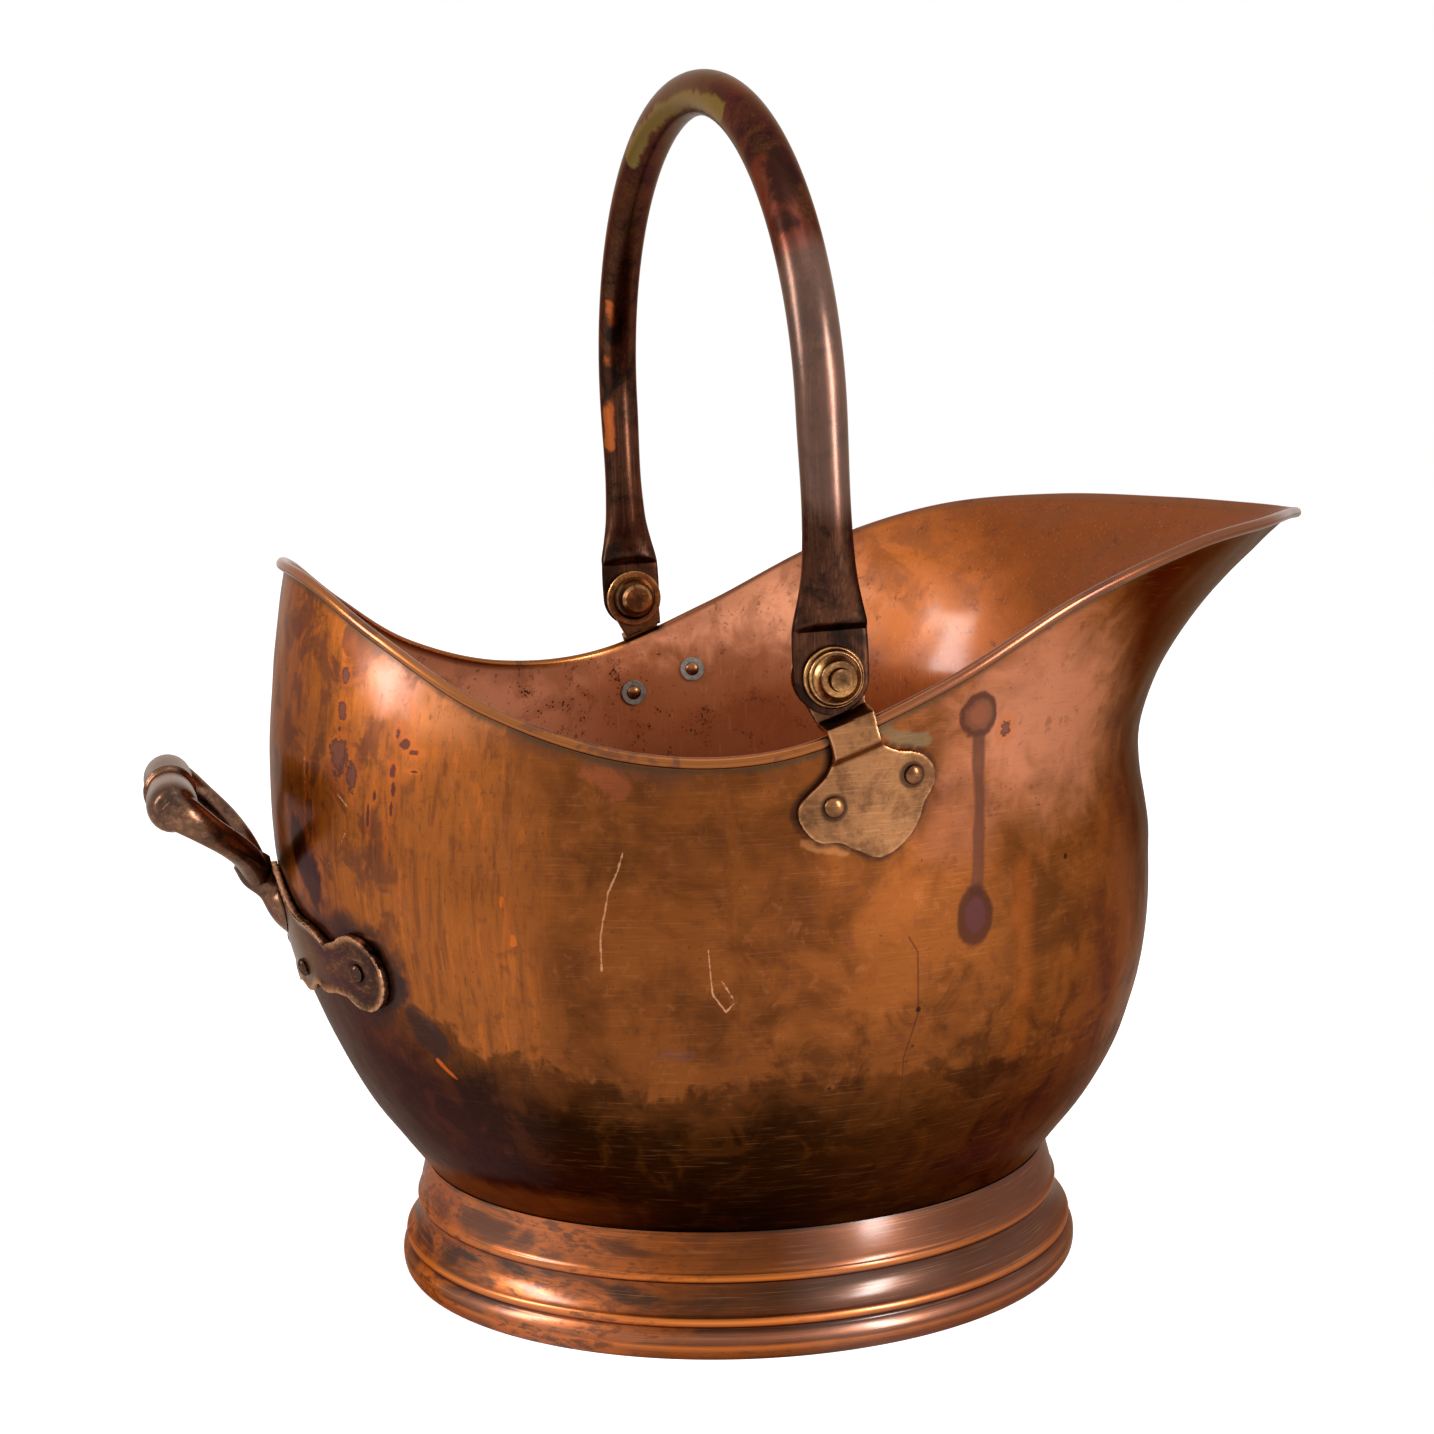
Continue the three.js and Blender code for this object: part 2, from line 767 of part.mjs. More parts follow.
// One ring of a lofted bar: half sizes along two directions, from round towards square
function ring(centre, across, deep, halfWidth, halfDepth, squareness, sides) {
  return Array.from({ length: sides }, (_, i) => {
    const a = ((i + 0.5) * turn) / sides;
    const bend = (value) => Math.sign(value) * Math.abs(value) ** (2 / squareness);
    return centre
      .clone()
      .addScaledVector(across, halfWidth * bend(Math.cos(a)))
      .addScaledVector(deep, halfDepth * bend(Math.sin(a)));
  });
}

// Bail: half of its rings from the far strap's end up to the crown, then mirrored
function bailRings() {
  const rings = [];
  const along = vector(1, 0, 0);
  const strapMiddle = (strapFace + strapOuter) / 2;
  const level = (y, rise, halfWidth, halfDepth, squareness = roundSection, out = vector(0, 1, 0)) => {
    const centre = vector(0, y, rise);
    rings.push(ring(centre, along, out, halfWidth, halfDepth, squareness, barSides));
  };
  const strap = (rise, halfWidth) =>
    level(strapMiddle, rise, halfWidth, strapThickness / 2, strapSquareness);
  for (const share of strapEndShares) {
    strap(-share * strapHalfWidth, strapHalfWidth * Math.sqrt(1 - share ** 2));
  }
  strap(shoulderRise - strapThickness, strapHalfWidth);
  const shoulderY = (strapFace - shoulderInside + strapOuter + shoulderOutside) / 2;
  const shoulderHalfDepth = strapOuter + shoulderOutside - shoulderY;
  level(shoulderY, shoulderRise, shoulderHalfWidth, shoulderHalfDepth, shoulderSquareness);
  const flareMiddle = (shoulderRise + flareRise) / 2;
  const flareHalfWidth = (shoulderHalfWidth + 2 * barRadius) / 3;
  const flareHalfDepth = (shoulderHalfDepth + 2 * barRadius) / 3;
  const flareY = (shoulderY + 2 * bailHalfSpan) / 3;
  level(flareY, flareMiddle, flareHalfWidth, flareHalfDepth);
  level(bailHalfSpan, flareRise, barRadius, barRadius);
  for (let i = 0; i < archSteps; i += 1) {
    const a = (i / archSteps) * (Math.PI / 2);
    const archHeight = bailRise - bailStraight;
    const y = bailHalfSpan * Math.cos(a);
    const rise = bailStraight + archHeight * Math.sin(a);
    const out = vector(0, archHeight * Math.cos(a), bailHalfSpan * Math.sin(a)).normalize();
    level(y, rise, barRadius, barRadius, roundSection, out);
  }
  return rings;
}

function bail() {
  const half = bailRings();
  const crown = ring(
    vector(0, 0, bailRise),
    vector(1, 0, 0),
    vector(0, 0, 1),
    barRadius,
    barRadius,
    roundSection,
    barSides,
  );
  const mirrored = half.map((points) => points.map((p) => vector(p.x, -p.y, p.z))).reverse();
  let piece = solid(skin([...half, crown, ...mirrored], false));
  for (const sign of [-1, 1]) {
    const place = vector(0, sign * strapOuter, 0);
    piece = piece.subtract(rod(place, vector(0, 1, 0), pinHole, 2 * overrun));
  }
  return piece;
}
const bailPlace = new THREE.Group();
bailPlace.name = "bail_place";
bailPlace.position.set(pivotX, 0, pivotHeight);
bailPlace.rotation.y = bailLean * degree;
scuttle.add(bailPlace);
add("bail", geometryOf(bail()), bronze, bailPlace);

// A slab that follows the rear of the wall between two distances from it
function rearSlab(inside, outside) {
  const reach = plateLobeOut + plateLobeRadius + overrun;
  const low = plateBottom - overrun;
  const high = plateTop + overrun;
  const rings = [];
  for (let i = 0; i <= plateColumns; i += 1) {
    const y = THREE.MathUtils.lerp(-reach, reach, i / plateColumns);
    const faces = [[], []];
    for (let j = 0; j <= plateRows; j += 1) {
      const z = low + ((high - low) * j) / plateRows;
      const angle = wallAngle(z, Math.abs(y), "y", 0, Math.PI / 2);
      const share = shareAt(angle, z);
      const out = wallNormal(angle, share);
      for (const [k, distance] of [inside, outside].entries()) {
        const point = wall(angle, share).addScaledVector(out, distance);
        faces[k].push(vector(point.x, y < 0 ? -point.y : point.y, point.z));
      }
    }
    rings.push([...faces[0], ...faces[1].reverse()]);
  }
  return solid(skin(rings, false));
}

// Rear plate
function plateOutline() {
  const height = (share) => plateBottom + share * (plateTop - plateBottom);
  const out = (share) => share * (plateLobeOut - plateLobeRadius / 2);
  const top = plateTopShares.map(([y, z]) => [out(y), height(z)]);
  const bottom = plateBottomShares.map(([y, z]) => [out(y), height(z)]);
  const lobe = [];
  for (let i = 0; i <= lobeSteps; i += 1) {
    const a = THREE.MathUtils.lerp(lobeOpening, -lobeOpening, i / lobeSteps) * degree;
    const [out, up] = [plateLobeRadius * Math.cos(a), plateLobeRadius * Math.sin(a)];
    lobe.push([plateLobeOut + out, plateLobeHeight + up]);
  }
  const right = [...top, ...lobe, ...bottom];
  const left = [...right].reverse().slice(1, -1).map(([y, z]) => [-y, z]);
  const shape = new THREE.Shape();
  shape.setFromPoints([...right, ...left].map(([y, z]) => new THREE.Vector2(y, z)));
  return shape;
}

function rearPlate() {
  const depth = rearReach + 2 * overrun;
  const prism = new THREE.ExtrudeGeometry(plateOutline(), { depth, bevelEnabled: false });
  prism.rotateX(Math.PI / 2).rotateZ(Math.PI / 2).translate(-depth, 0, 0);
  let piece = rearSlab(seatGap, seatGap + plateThickness).intersect(solid(prism));
  for (const hole of rivetHoles) piece = piece.subtract(hole);
  return piece;
}
add("rear_plate", geometryOf(rearPlate()), darkCopper);

// Rear handle
function rearHandle() {
  const gripX = -rearReach - gripBehind;
  const collarX = -rearOfWall(0, collarHeight) - collarStand;
  const half = gripShares.map(([length, radius]) => [radius * gripRadius, length * gripHalfLength]);
  const bead = [
    [gripBead, gripBeadHalf],
    [half[0][0], 2 * gripBeadHalf],
  ];
  const upper = [[half[0][0], 0], ...bead, ...half];
  const lower = [...upper].reverse().slice(0, -1).map(([r, z]) => [r, -z]);
  const grip = turned([...lower, ...upper]).rotateX(Math.PI / 2);
  let piece = solid(grip.translate(gripX, 0, gripHeight));

  const down = vector(collarX - gripX, 0, collarHeight - gripHeight);
  const reach = down.length();
  down.normalize();
  const normal = vector(-down.z, 0, down.x);
  const arched = ([along, out, , arch], sign) =>
    vector(gripX, sign * out * gripHalfLength, gripHeight)
      .addScaledVector(down, along * reach)
      .addScaledVector(normal, arch * reach);
  for (const sign of [-1, 1]) {
    const points = armShares.map((shares) => arched(shares, sign));
    const curve = new THREE.CatmullRomCurve3(points);
    const rings = Array.from({ length: armSteps + 1 }, (_, i) => {
      const u = i / armSteps;
      const flares = armShares.map(([, , flare]) => flare);
      const knots = armShares.map((_, k) => k / (armShares.length - 1));
      const radius = armRadius + (armElbowRadius - armRadius) * through(knots, flares, u);
      const across = curve.getTangent(u).cross(normal).normalize();
      return ring(curve.getPoint(u), across, normal, radius, radius, roundSection, armSides);
    });
    piece = piece.add(solid(skin(rings, false)));
  }

  // Stem from the collar, bending to meet the plate, with the trumpet's flare at its end
  const foot = vector(-rearOfWall(0, trumpetHeight), 0, trumpetHeight);
  const start = vector(collarX, 0, collarHeight).addScaledVector(down, -collarRadius);
  const bend = vector((collarX + foot.x) / 2, 0, (collarHeight + trumpetHeight) / 2);
  const stem = new THREE.CatmullRomCurve3([start, vector(collarX, 0, collarHeight), bend, foot]);
  const stemKnots = [0, 1 / 3, 2 / 3, 1];
  const stemRadii = [armRadius, collarRadius, stemRadius, stemRadius];
  const rings = Array.from({ length: stemSteps + 1 }, (_, i) => {
    const u = i / stemSteps;
    const flare = Math.max((u - stemKnots[2]) / (1 - stemKnots[2]), 0) ** 2;
    const base = through(stemKnots, stemRadii, u);
    const halfWidth = base + (trumpetHalfWidth - stemRadius) * flare;
    const halfDepth = base + (trumpetHalfHeight - stemRadius) * flare;
    const way = stem.getTangent(u).lerp(vector(1, 0, 0), flare).normalize();
    const deep = vector(way.z, 0, -way.x);
    return ring(stem.getPoint(u), vector(0, 1, 0), deep, halfWidth, halfDepth, roundSection, stemSides);
  });
  piece = piece.add(solid(skin(rings, false)));
  return piece.subtract(rearSlab(-2 * overrun, 2 * seatGap + plateThickness));
}
add("rear_handle", geometryOf(rearHandle()), darkCopper);

// The origin is on the floor under the middle of the whole object's length
const box = new THREE.Box3().setFromObject(scuttle);
scuttle.position.x = -(box.min.x + box.max.x) / 2;

export default scuttle;
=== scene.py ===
import math

import bmesh
import bpy
import numpy as np
from mathutils import Matrix, Vector, noise


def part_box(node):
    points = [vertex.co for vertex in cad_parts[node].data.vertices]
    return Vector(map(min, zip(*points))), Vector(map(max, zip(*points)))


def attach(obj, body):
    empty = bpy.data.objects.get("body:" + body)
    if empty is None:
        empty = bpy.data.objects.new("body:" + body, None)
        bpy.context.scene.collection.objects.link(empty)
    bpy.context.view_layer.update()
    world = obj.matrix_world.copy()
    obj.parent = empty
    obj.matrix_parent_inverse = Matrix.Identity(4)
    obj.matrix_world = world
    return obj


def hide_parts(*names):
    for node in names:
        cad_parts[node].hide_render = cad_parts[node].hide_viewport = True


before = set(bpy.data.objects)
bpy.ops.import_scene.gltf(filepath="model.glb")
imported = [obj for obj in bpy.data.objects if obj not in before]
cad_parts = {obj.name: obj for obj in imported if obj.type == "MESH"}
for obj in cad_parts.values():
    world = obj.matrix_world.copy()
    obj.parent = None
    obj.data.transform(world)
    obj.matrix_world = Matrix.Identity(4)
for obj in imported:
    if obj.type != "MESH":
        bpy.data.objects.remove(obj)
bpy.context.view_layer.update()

# Pieces are shaped in millimetres round the foot's axis, then set where the frame has that axis
mm = 0.001
turn = 2 * math.pi
seatGap = 0.3  # between faces that touch on the real object


def middleOf(node):
    low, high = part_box(node)
    return (Vector(low) + Vector(high)) / 2


footX = middleOf("foot_ring").x
pivotX = (middleOf("near_pivot_washer").x - footX) / mm
pivotZ = middleOf("near_pivot_washer").z / mm
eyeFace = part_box("far_pivot_washer")[1][1] / mm + seatGap  # inner face of an ear's eye
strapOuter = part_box("far_pivot_rose")[0][1] / mm - seatGap
print("frame loaded, pivot at", round(pivotX, 2), round(pivotZ, 2))

# Camera, set to the photograph's viewing angle
cameraSettings = {
    "azimuth": -11.48,  # degrees, 0 looks along +Y
    "elevation": 7.61,
    "roll": -2.27,
    "distance": 0.9588,
    "target": (-0.0244, 0.0, 0.1997),  # from the foot's axis
    "lens": 65.7,
    "shiftX": 0.0442,
}


def makeCamera(s):
    azimuth = math.radians(s["azimuth"])
    elevation = math.radians(s["elevation"])
    roll = math.radians(s["roll"])
    back = Vector((
        math.sin(azimuth) * math.cos(elevation),
        -math.cos(azimuth) * math.cos(elevation),
        math.sin(elevation),
    ))
    level = Vector((math.cos(azimuth), math.sin(azimuth), 0))
    upright = back.cross(level)
    right = math.cos(roll) * level + math.sin(roll) * upright
    up = math.cos(roll) * upright - math.sin(roll) * level
    data = bpy.data.cameras.new("camera")
    data.lens = s["lens"]
    data.sensor_width = 36
    data.sensor_fit = "HORIZONTAL"
    data.shift_x = s["shiftX"]
    data.clip_start = 0.01
    camera = bpy.data.objects.new("camera", data)
    place = Vector(s["target"]) + Vector((footX, 0, 0)) + back * s["distance"]
    camera.matrix_world = Matrix.Translation(place) @ Matrix((right, up, back)).transposed().to_4x4()
    bpy.context.collection.objects.link(camera)
    bpy.context.scene.camera = camera
    print("camera placed")


makeCamera(cameraSettings)


# Node maths: a wire wraps a socket, and sums on wires add their Math nodes
class Wire:
    def __init__(self, tree, socket):
        self.tree = tree
        self.socket = socket

    def __add__(self, other):
        return self.tree.maths("ADD", self, other)

    def __radd__(self, other):
        return self.tree.maths("ADD", other, self)

    def __sub__(self, other):
        return self.tree.maths("SUBTRACT", self, other)

    def __rsub__(self, other):
        return self.tree.maths("SUBTRACT", other, self)

    def __mul__(self, other):
        return self.tree.maths("MULTIPLY", self, other)

    def __rmul__(self, other):
        return self.tree.maths("MULTIPLY", other, self)

    def __truediv__(self, other):
        return self.tree.maths("DIVIDE", self, other)

    def __rtruediv__(self, other):
        return self.tree.maths("DIVIDE", other, self)

    def __pow__(self, other):
        return self.tree.maths("POWER", self, other)


class Tree:
    # Any node: its type, its settings, the values or wires of its sockets, and the output wanted
    def add(self, kind, settings, links, out=0):
        node = self.nodes.new(kind)
        for key, value in settings.items():
            if key == "stops":
                elements = node.color_ramp.elements
                elements.remove(elements[1])
                for position, _ in value[1:]:
                    elements.new(position)
                for element, (position, colour) in zip(elements, value):
                    element.position = position
                    element.color = (*colour, 1)
            else:
                setattr(node, key, value)
        for key, value in links.items():
            if isinstance(value, Wire):
                self.links.new(value.socket, node.inputs[key])
            else:
                node.inputs[key].default_value = value
        return Wire(self, node.outputs[out]) if len(node.outputs) else None

    def maths(self, operation, *values, clamp=False):
        settings = {"operation": operation, "use_clamp": clamp}
        return self.add("ShaderNodeMath", settings, dict(enumerate(values)))

    # The least or greatest of several wires
    def pick(self, operation, wires):
        chosen = wires[0]
        for wire in wires[1:]:
            chosen = self.maths(operation, chosen, wire)
        return chosen

    def vectors(self, operation, first, second, out="Vector"):
        key = "Scale" if operation == "SCALE" else 1
        return self.add("ShaderNodeVectorMath", {"operation": operation}, {0: first, key: second}, out)


# sRGB numbers from 0 to 255, as the photograph shows a tone, to the linear colour that nodes take
def tone(*levels):
    shares = [level / 255 for level in levels]
    return tuple(s / 12.92 if s < 0.04045 else ((s + 0.055) / 1.055) ** 2.4 for s in shares)


class Paint(Tree):
    def __init__(self, name):
        self.material = bpy.data.materials.new(name)
        self.material.use_nodes = True
        self.nodes = self.material.node_tree.nodes
        self.links = self.material.node_tree.links
        self.nodes.clear()
        self.place = self.add("ShaderNodeTexCoord", {}, {}, "Object")

    # 0 at one limit and 1 at the other, smooth between; the limits may fall
    def step(self, value, low, high):
        if low > high:
            return 1 - self.step(value, high, low)
        settings = {"interpolation_type": "SMOOTHSTEP"}
        links = {"Value": value, "From Min": low, "From Max": high}
        return self.add("ShaderNodeMapRange", settings, links)

    def mix(self, first, second, factor):
        a, b = [c if isinstance(c, Wire) else (*c, 1) for c in (first, second)]
        return self.add("ShaderNodeMix", {"data_type": "RGBA"}, {0: factor, 6: a, 7: b}, 2)

    # Noise from 0 to 1 about a half; size is that of its blobs along X, Y and Z in millimetres
    def noise(self, size, detail=3.0, rough=0.55, twist=0.0, shift=0.0):
        sizes = size if isinstance(size, tuple) else (size, size, size)
        scale = tuple(1 / (s * mm) for s in sizes)
        links = {"Vector": self.place, "Scale": scale, "Location": (shift, shift, shift)}
        at = self.add("ShaderNodeMapping", {}, links)
        links = {"Vector": at, "Scale": 1.0, "Detail": detail, "Roughness": rough, "Distortion": twist}
        return self.add("ShaderNodeTexNoise", {}, links, "Fac")

    # Tones laid over a colour, each by its own mask
    def layers(self, colour, *coats):
        for tint, mask in coats:
            colour = self.mix(colour, tone(*tint), mask)
        return colour

    # Blots along paths: tone, amount, half width and paths
    def blots(self, colour, wander, marks):
        for tint, amount, width, paths in marks:
            away = self.pick("MINIMUM", [self.along(path) for path in paths])
            share = self.step(away + wander * width * 2.4, width * 1.1, width * 0.6)
            colour = self.mix(colour, tone(*tint), share * amount)
        return colour

    def attribute(self, name):
        return self.add("ShaderNodeAttribute", {"attribute_name": name}, {}, "Fac")

    # Distance in millimetres from a place round the foot's axis, with its axes stretched
    def distance(self, place, stretch=(1, 1, 1)):
        middle = (place[0] * mm + footX, place[1] * mm, place[2] * mm)
        away = self.vectors("SUBTRACT", self.place, middle)
        scaled = self.vectors("DIVIDE", away, tuple(s * mm for s in stretch))
        return self.vectors("LENGTH", scaled, (0, 0, 0), "Value")

    # Distance in millimetres from a path of places, with the way across the object counted less
    def along(self, path, across=1):
        squash = Vector((1, across, 1))
        gaps = []
        for start, end in zip(path, path[1:]):
            first = Vector(start) * mm + Vector((footX, 0, 0))
            run = (Vector(end) - Vector(start)) * mm * squash
            away = self.vectors("MULTIPLY", self.vectors("SUBTRACT", self.place, first), squash)
            reach = self.vectors("DOT_PRODUCT", away, run, "Value")
            share = self.maths("DIVIDE", reach, run.dot(run), clamp=True)
            rest = self.vectors("SUBTRACT", away, self.vectors("SCALE", run, share))
            gaps.append(self.vectors("LENGTH", rest, (0, 0, 0), "Value"))
        return self.pick("MINIMUM", gaps) / mm

    # Place along X, Y or Z in millimetres from the foot's axis
    def axis(self, name):
        place = self.add("ShaderNodeSeparateXYZ", {}, {0: self.place}, name)
        return (place - footX) / mm if name == "X" else place / mm

    # A value that follows points of (place, height) in straight lines
    def graph(self, value, points):
        low, high = points[0][0], points[-1][0]
        top = max(height for _, height in points)
        stops = [((at - low) / (high - low), (height / top,) * 3) for at, height in points]
        share = (value - low) / (high - low)
        return self.add("ShaderNodeValToRGB", {"stops": stops}, {0: share}, "Color") * top

    def bump(self, height, strength, depth, normal=None):
        links = {"Height": height, "Strength": strength, "Distance": depth * mm}
        if normal is not None:
            links["Normal"] = normal
        return self.add("ShaderNodeBump", {}, links, "Normal")

    def finish(self, sockets):
        shader = self.add("ShaderNodeBsdfPrincipled", {}, sockets, "BSDF")
        self.add("ShaderNodeOutputMaterial", {}, {"Surface": shader})
        return self.material


edgeTint = (0.6, 0.42, 0.3)  # keeps the metals' edges from turning white

# Bowl copper: an old brown patina, darker below, with stains, spots and scratches on the near side, and
# with painted highlights and painted shade
bowlMarks = {
    # Purple spots with orange edges: place and half sizes
    "spots": (
        ((-142, -68, 230), (1.9, 1.9, 2.4)),
        ((-143, -69, 218), (2.3, 2.3, 3.6)),
        ((-144, -69, 212), (1.5, 1.5, 2)),
        ((-145, -70, 203), (4.4, 4.4, 7)),
        ((-141, -76, 197), (3, 3, 4.5)),
        ((-155, -53, 181), (3, 3, 6.5)),
        ((-156, -52, 197), (1.6, 1.6, 4)),
        ((61, -146, 208), (2.4, 2.4, 3)),
    ),
    # Small dark pits in a cluster with orange about them
    "pits": (
        ((-128, -92, 213), (1.1, 1.1, 2)),
        ((-126, -94, 209), (2, 2, 1.6)),
        ((-123, -97, 206.5), (2.2, 2.2, 1)),
        ((-130, -92, 200), (1.4, 1.4, 2.6)),
        ((-130, -93, 194), (1, 1, 3)),
        ((-131, -93, 187), (0.9, 0.9, 3)),
        ((-136, -87, 192), (0.9, 0.9, 2)),
        ((-138, -85, 184), (0.8, 0.8, 4)),
        ((-133, -92, 177), (0.8, 0.8, 4)),
        ((-123, -98, 200.5), (2, 2, 0.5)),
    ),
    "scratches": (
        ((-65, -143, 177), (-67, -143, 171), (-70, -142, 165), (-73, -142, 151), (-73, -141, 140)),
        ((-41, -152, 146), (-40, -152, 132), (-36, -152, 126), (-33, -152, 129), (-37, -152, 136)),
        ((-145, -74, 178), (-151, -62, 165)),
        ((-147, -72, 191), (-144, -75, 187)),
        ((-155, -50, 214), (-156, -52, 190)),
    ),
    "seam": ((24, -153, 145), (27, -152, 140), (27, -151, 120), (22, -149, 105), (22, -142, 86)),
    "drip": ((50, -152, 207), (51, -153, 185), (50, -151, 165), (48, -147, 152)),
    # Painted highlights, pale and rosy reflections of light on the wall: tone, amount, place, half
    # sizes, stray edge, start and end of the fade
    "paintedHighlights": (
        ((206, 128, 92), 0.75, (80, -132, 212), (46, 60, 36), 1.2, 1.3, 0.3),
        ((150, 92, 70), 0.3, (44, -150, 180), (20, 40, 18), 1.4, 1.2, 0.4),
        ((190, 120, 78), 0.5, (-112, -108, 222), (34, 34, 16), 0.7, 1.1, 0.2),
        ((206, 144, 122), 0.6, (-128, -86, 228), (16, 22, 12), 1, 1.1, 0.1),
    ),
    # Gloss where old polish is left: amount, place, half sizes, start and end of the fade
    "polish": (
        (0.15, (80, -128, 210), (40, 60, 40), 1.2, 0.4),
        (0.6, (100, 112, 216), (46, 60, 40), 1.3, 0.5),
    ),
    "stripe": ((67, -139, 161), (66, -133, 100)),
    # Height of the dark line along the length
    "patinaAndShadeLine": (
        (-160, 128), (-128, 118), (-104, 112), (-81, 104), (-62, 98), (-40, 98), (-20, 104), (5, 102),
        (40, 98), (75, 96), (110, 92),
    ),
    # Tone, amount, half width and paths
    "blots": (
        ((176, 92, 58), 0.35, 5, [((-73, -136, 203), (-66, -140, 198))]),
        # Painted highlight: a pale crescent under the near ear
        ((196, 130, 80), 0.35, 2.4, [((-10, -156, 178.5), (-2, -157, 176.5), (3, -157, 175))]),
        ((108, 96, 70), 0.6, 3, [((14, -156, 214), (20, -156, 209), (30, -155, 208))]),
        ((92, 62, 62), 0.5, 3, [((-60, -147, 111), (-48, -150, 112))]),
        # Painted shadow under the handle
        ((18, 10, 6), 0.9, 9, [((-158, -42, 170), (-155, -50, 157))]),
        # Dark purple below the plate: stain, deepened with painted shade
        ((48, 33, 32), 0.85, 8, [
            ((-128, -93, 119), (-121, -99, 112)),
            ((-146, -68, 132), (-133, -90, 124)),
        ]),
        ((206, 100, 32), 0.75, 1.1, [
            ((-131, -89, 112), (-125, -96, 106)),
            ((-127, -92, 107), (-121, -98, 99)),
            ((-121, -97, 104), (-116, -101, 98)),
            ((-101, -125, 162), (-101, -125, 160)),
            ((-98, -127, 150), (-98, -127, 148)),
        ]),
        ((150, 66, 44), 0.6, 0.8, [((-62, -124, 51), (-30, -126, 49), (10, -127, 50))]),
    ),
    "pinholes": (
        ((-3, -150, 98),), ((25, -149, 109),), ((52, -123, 68),), ((86, -128, 162),), ((27, -151, 121),),
        ((-24, -152, 101),),
    ),
}


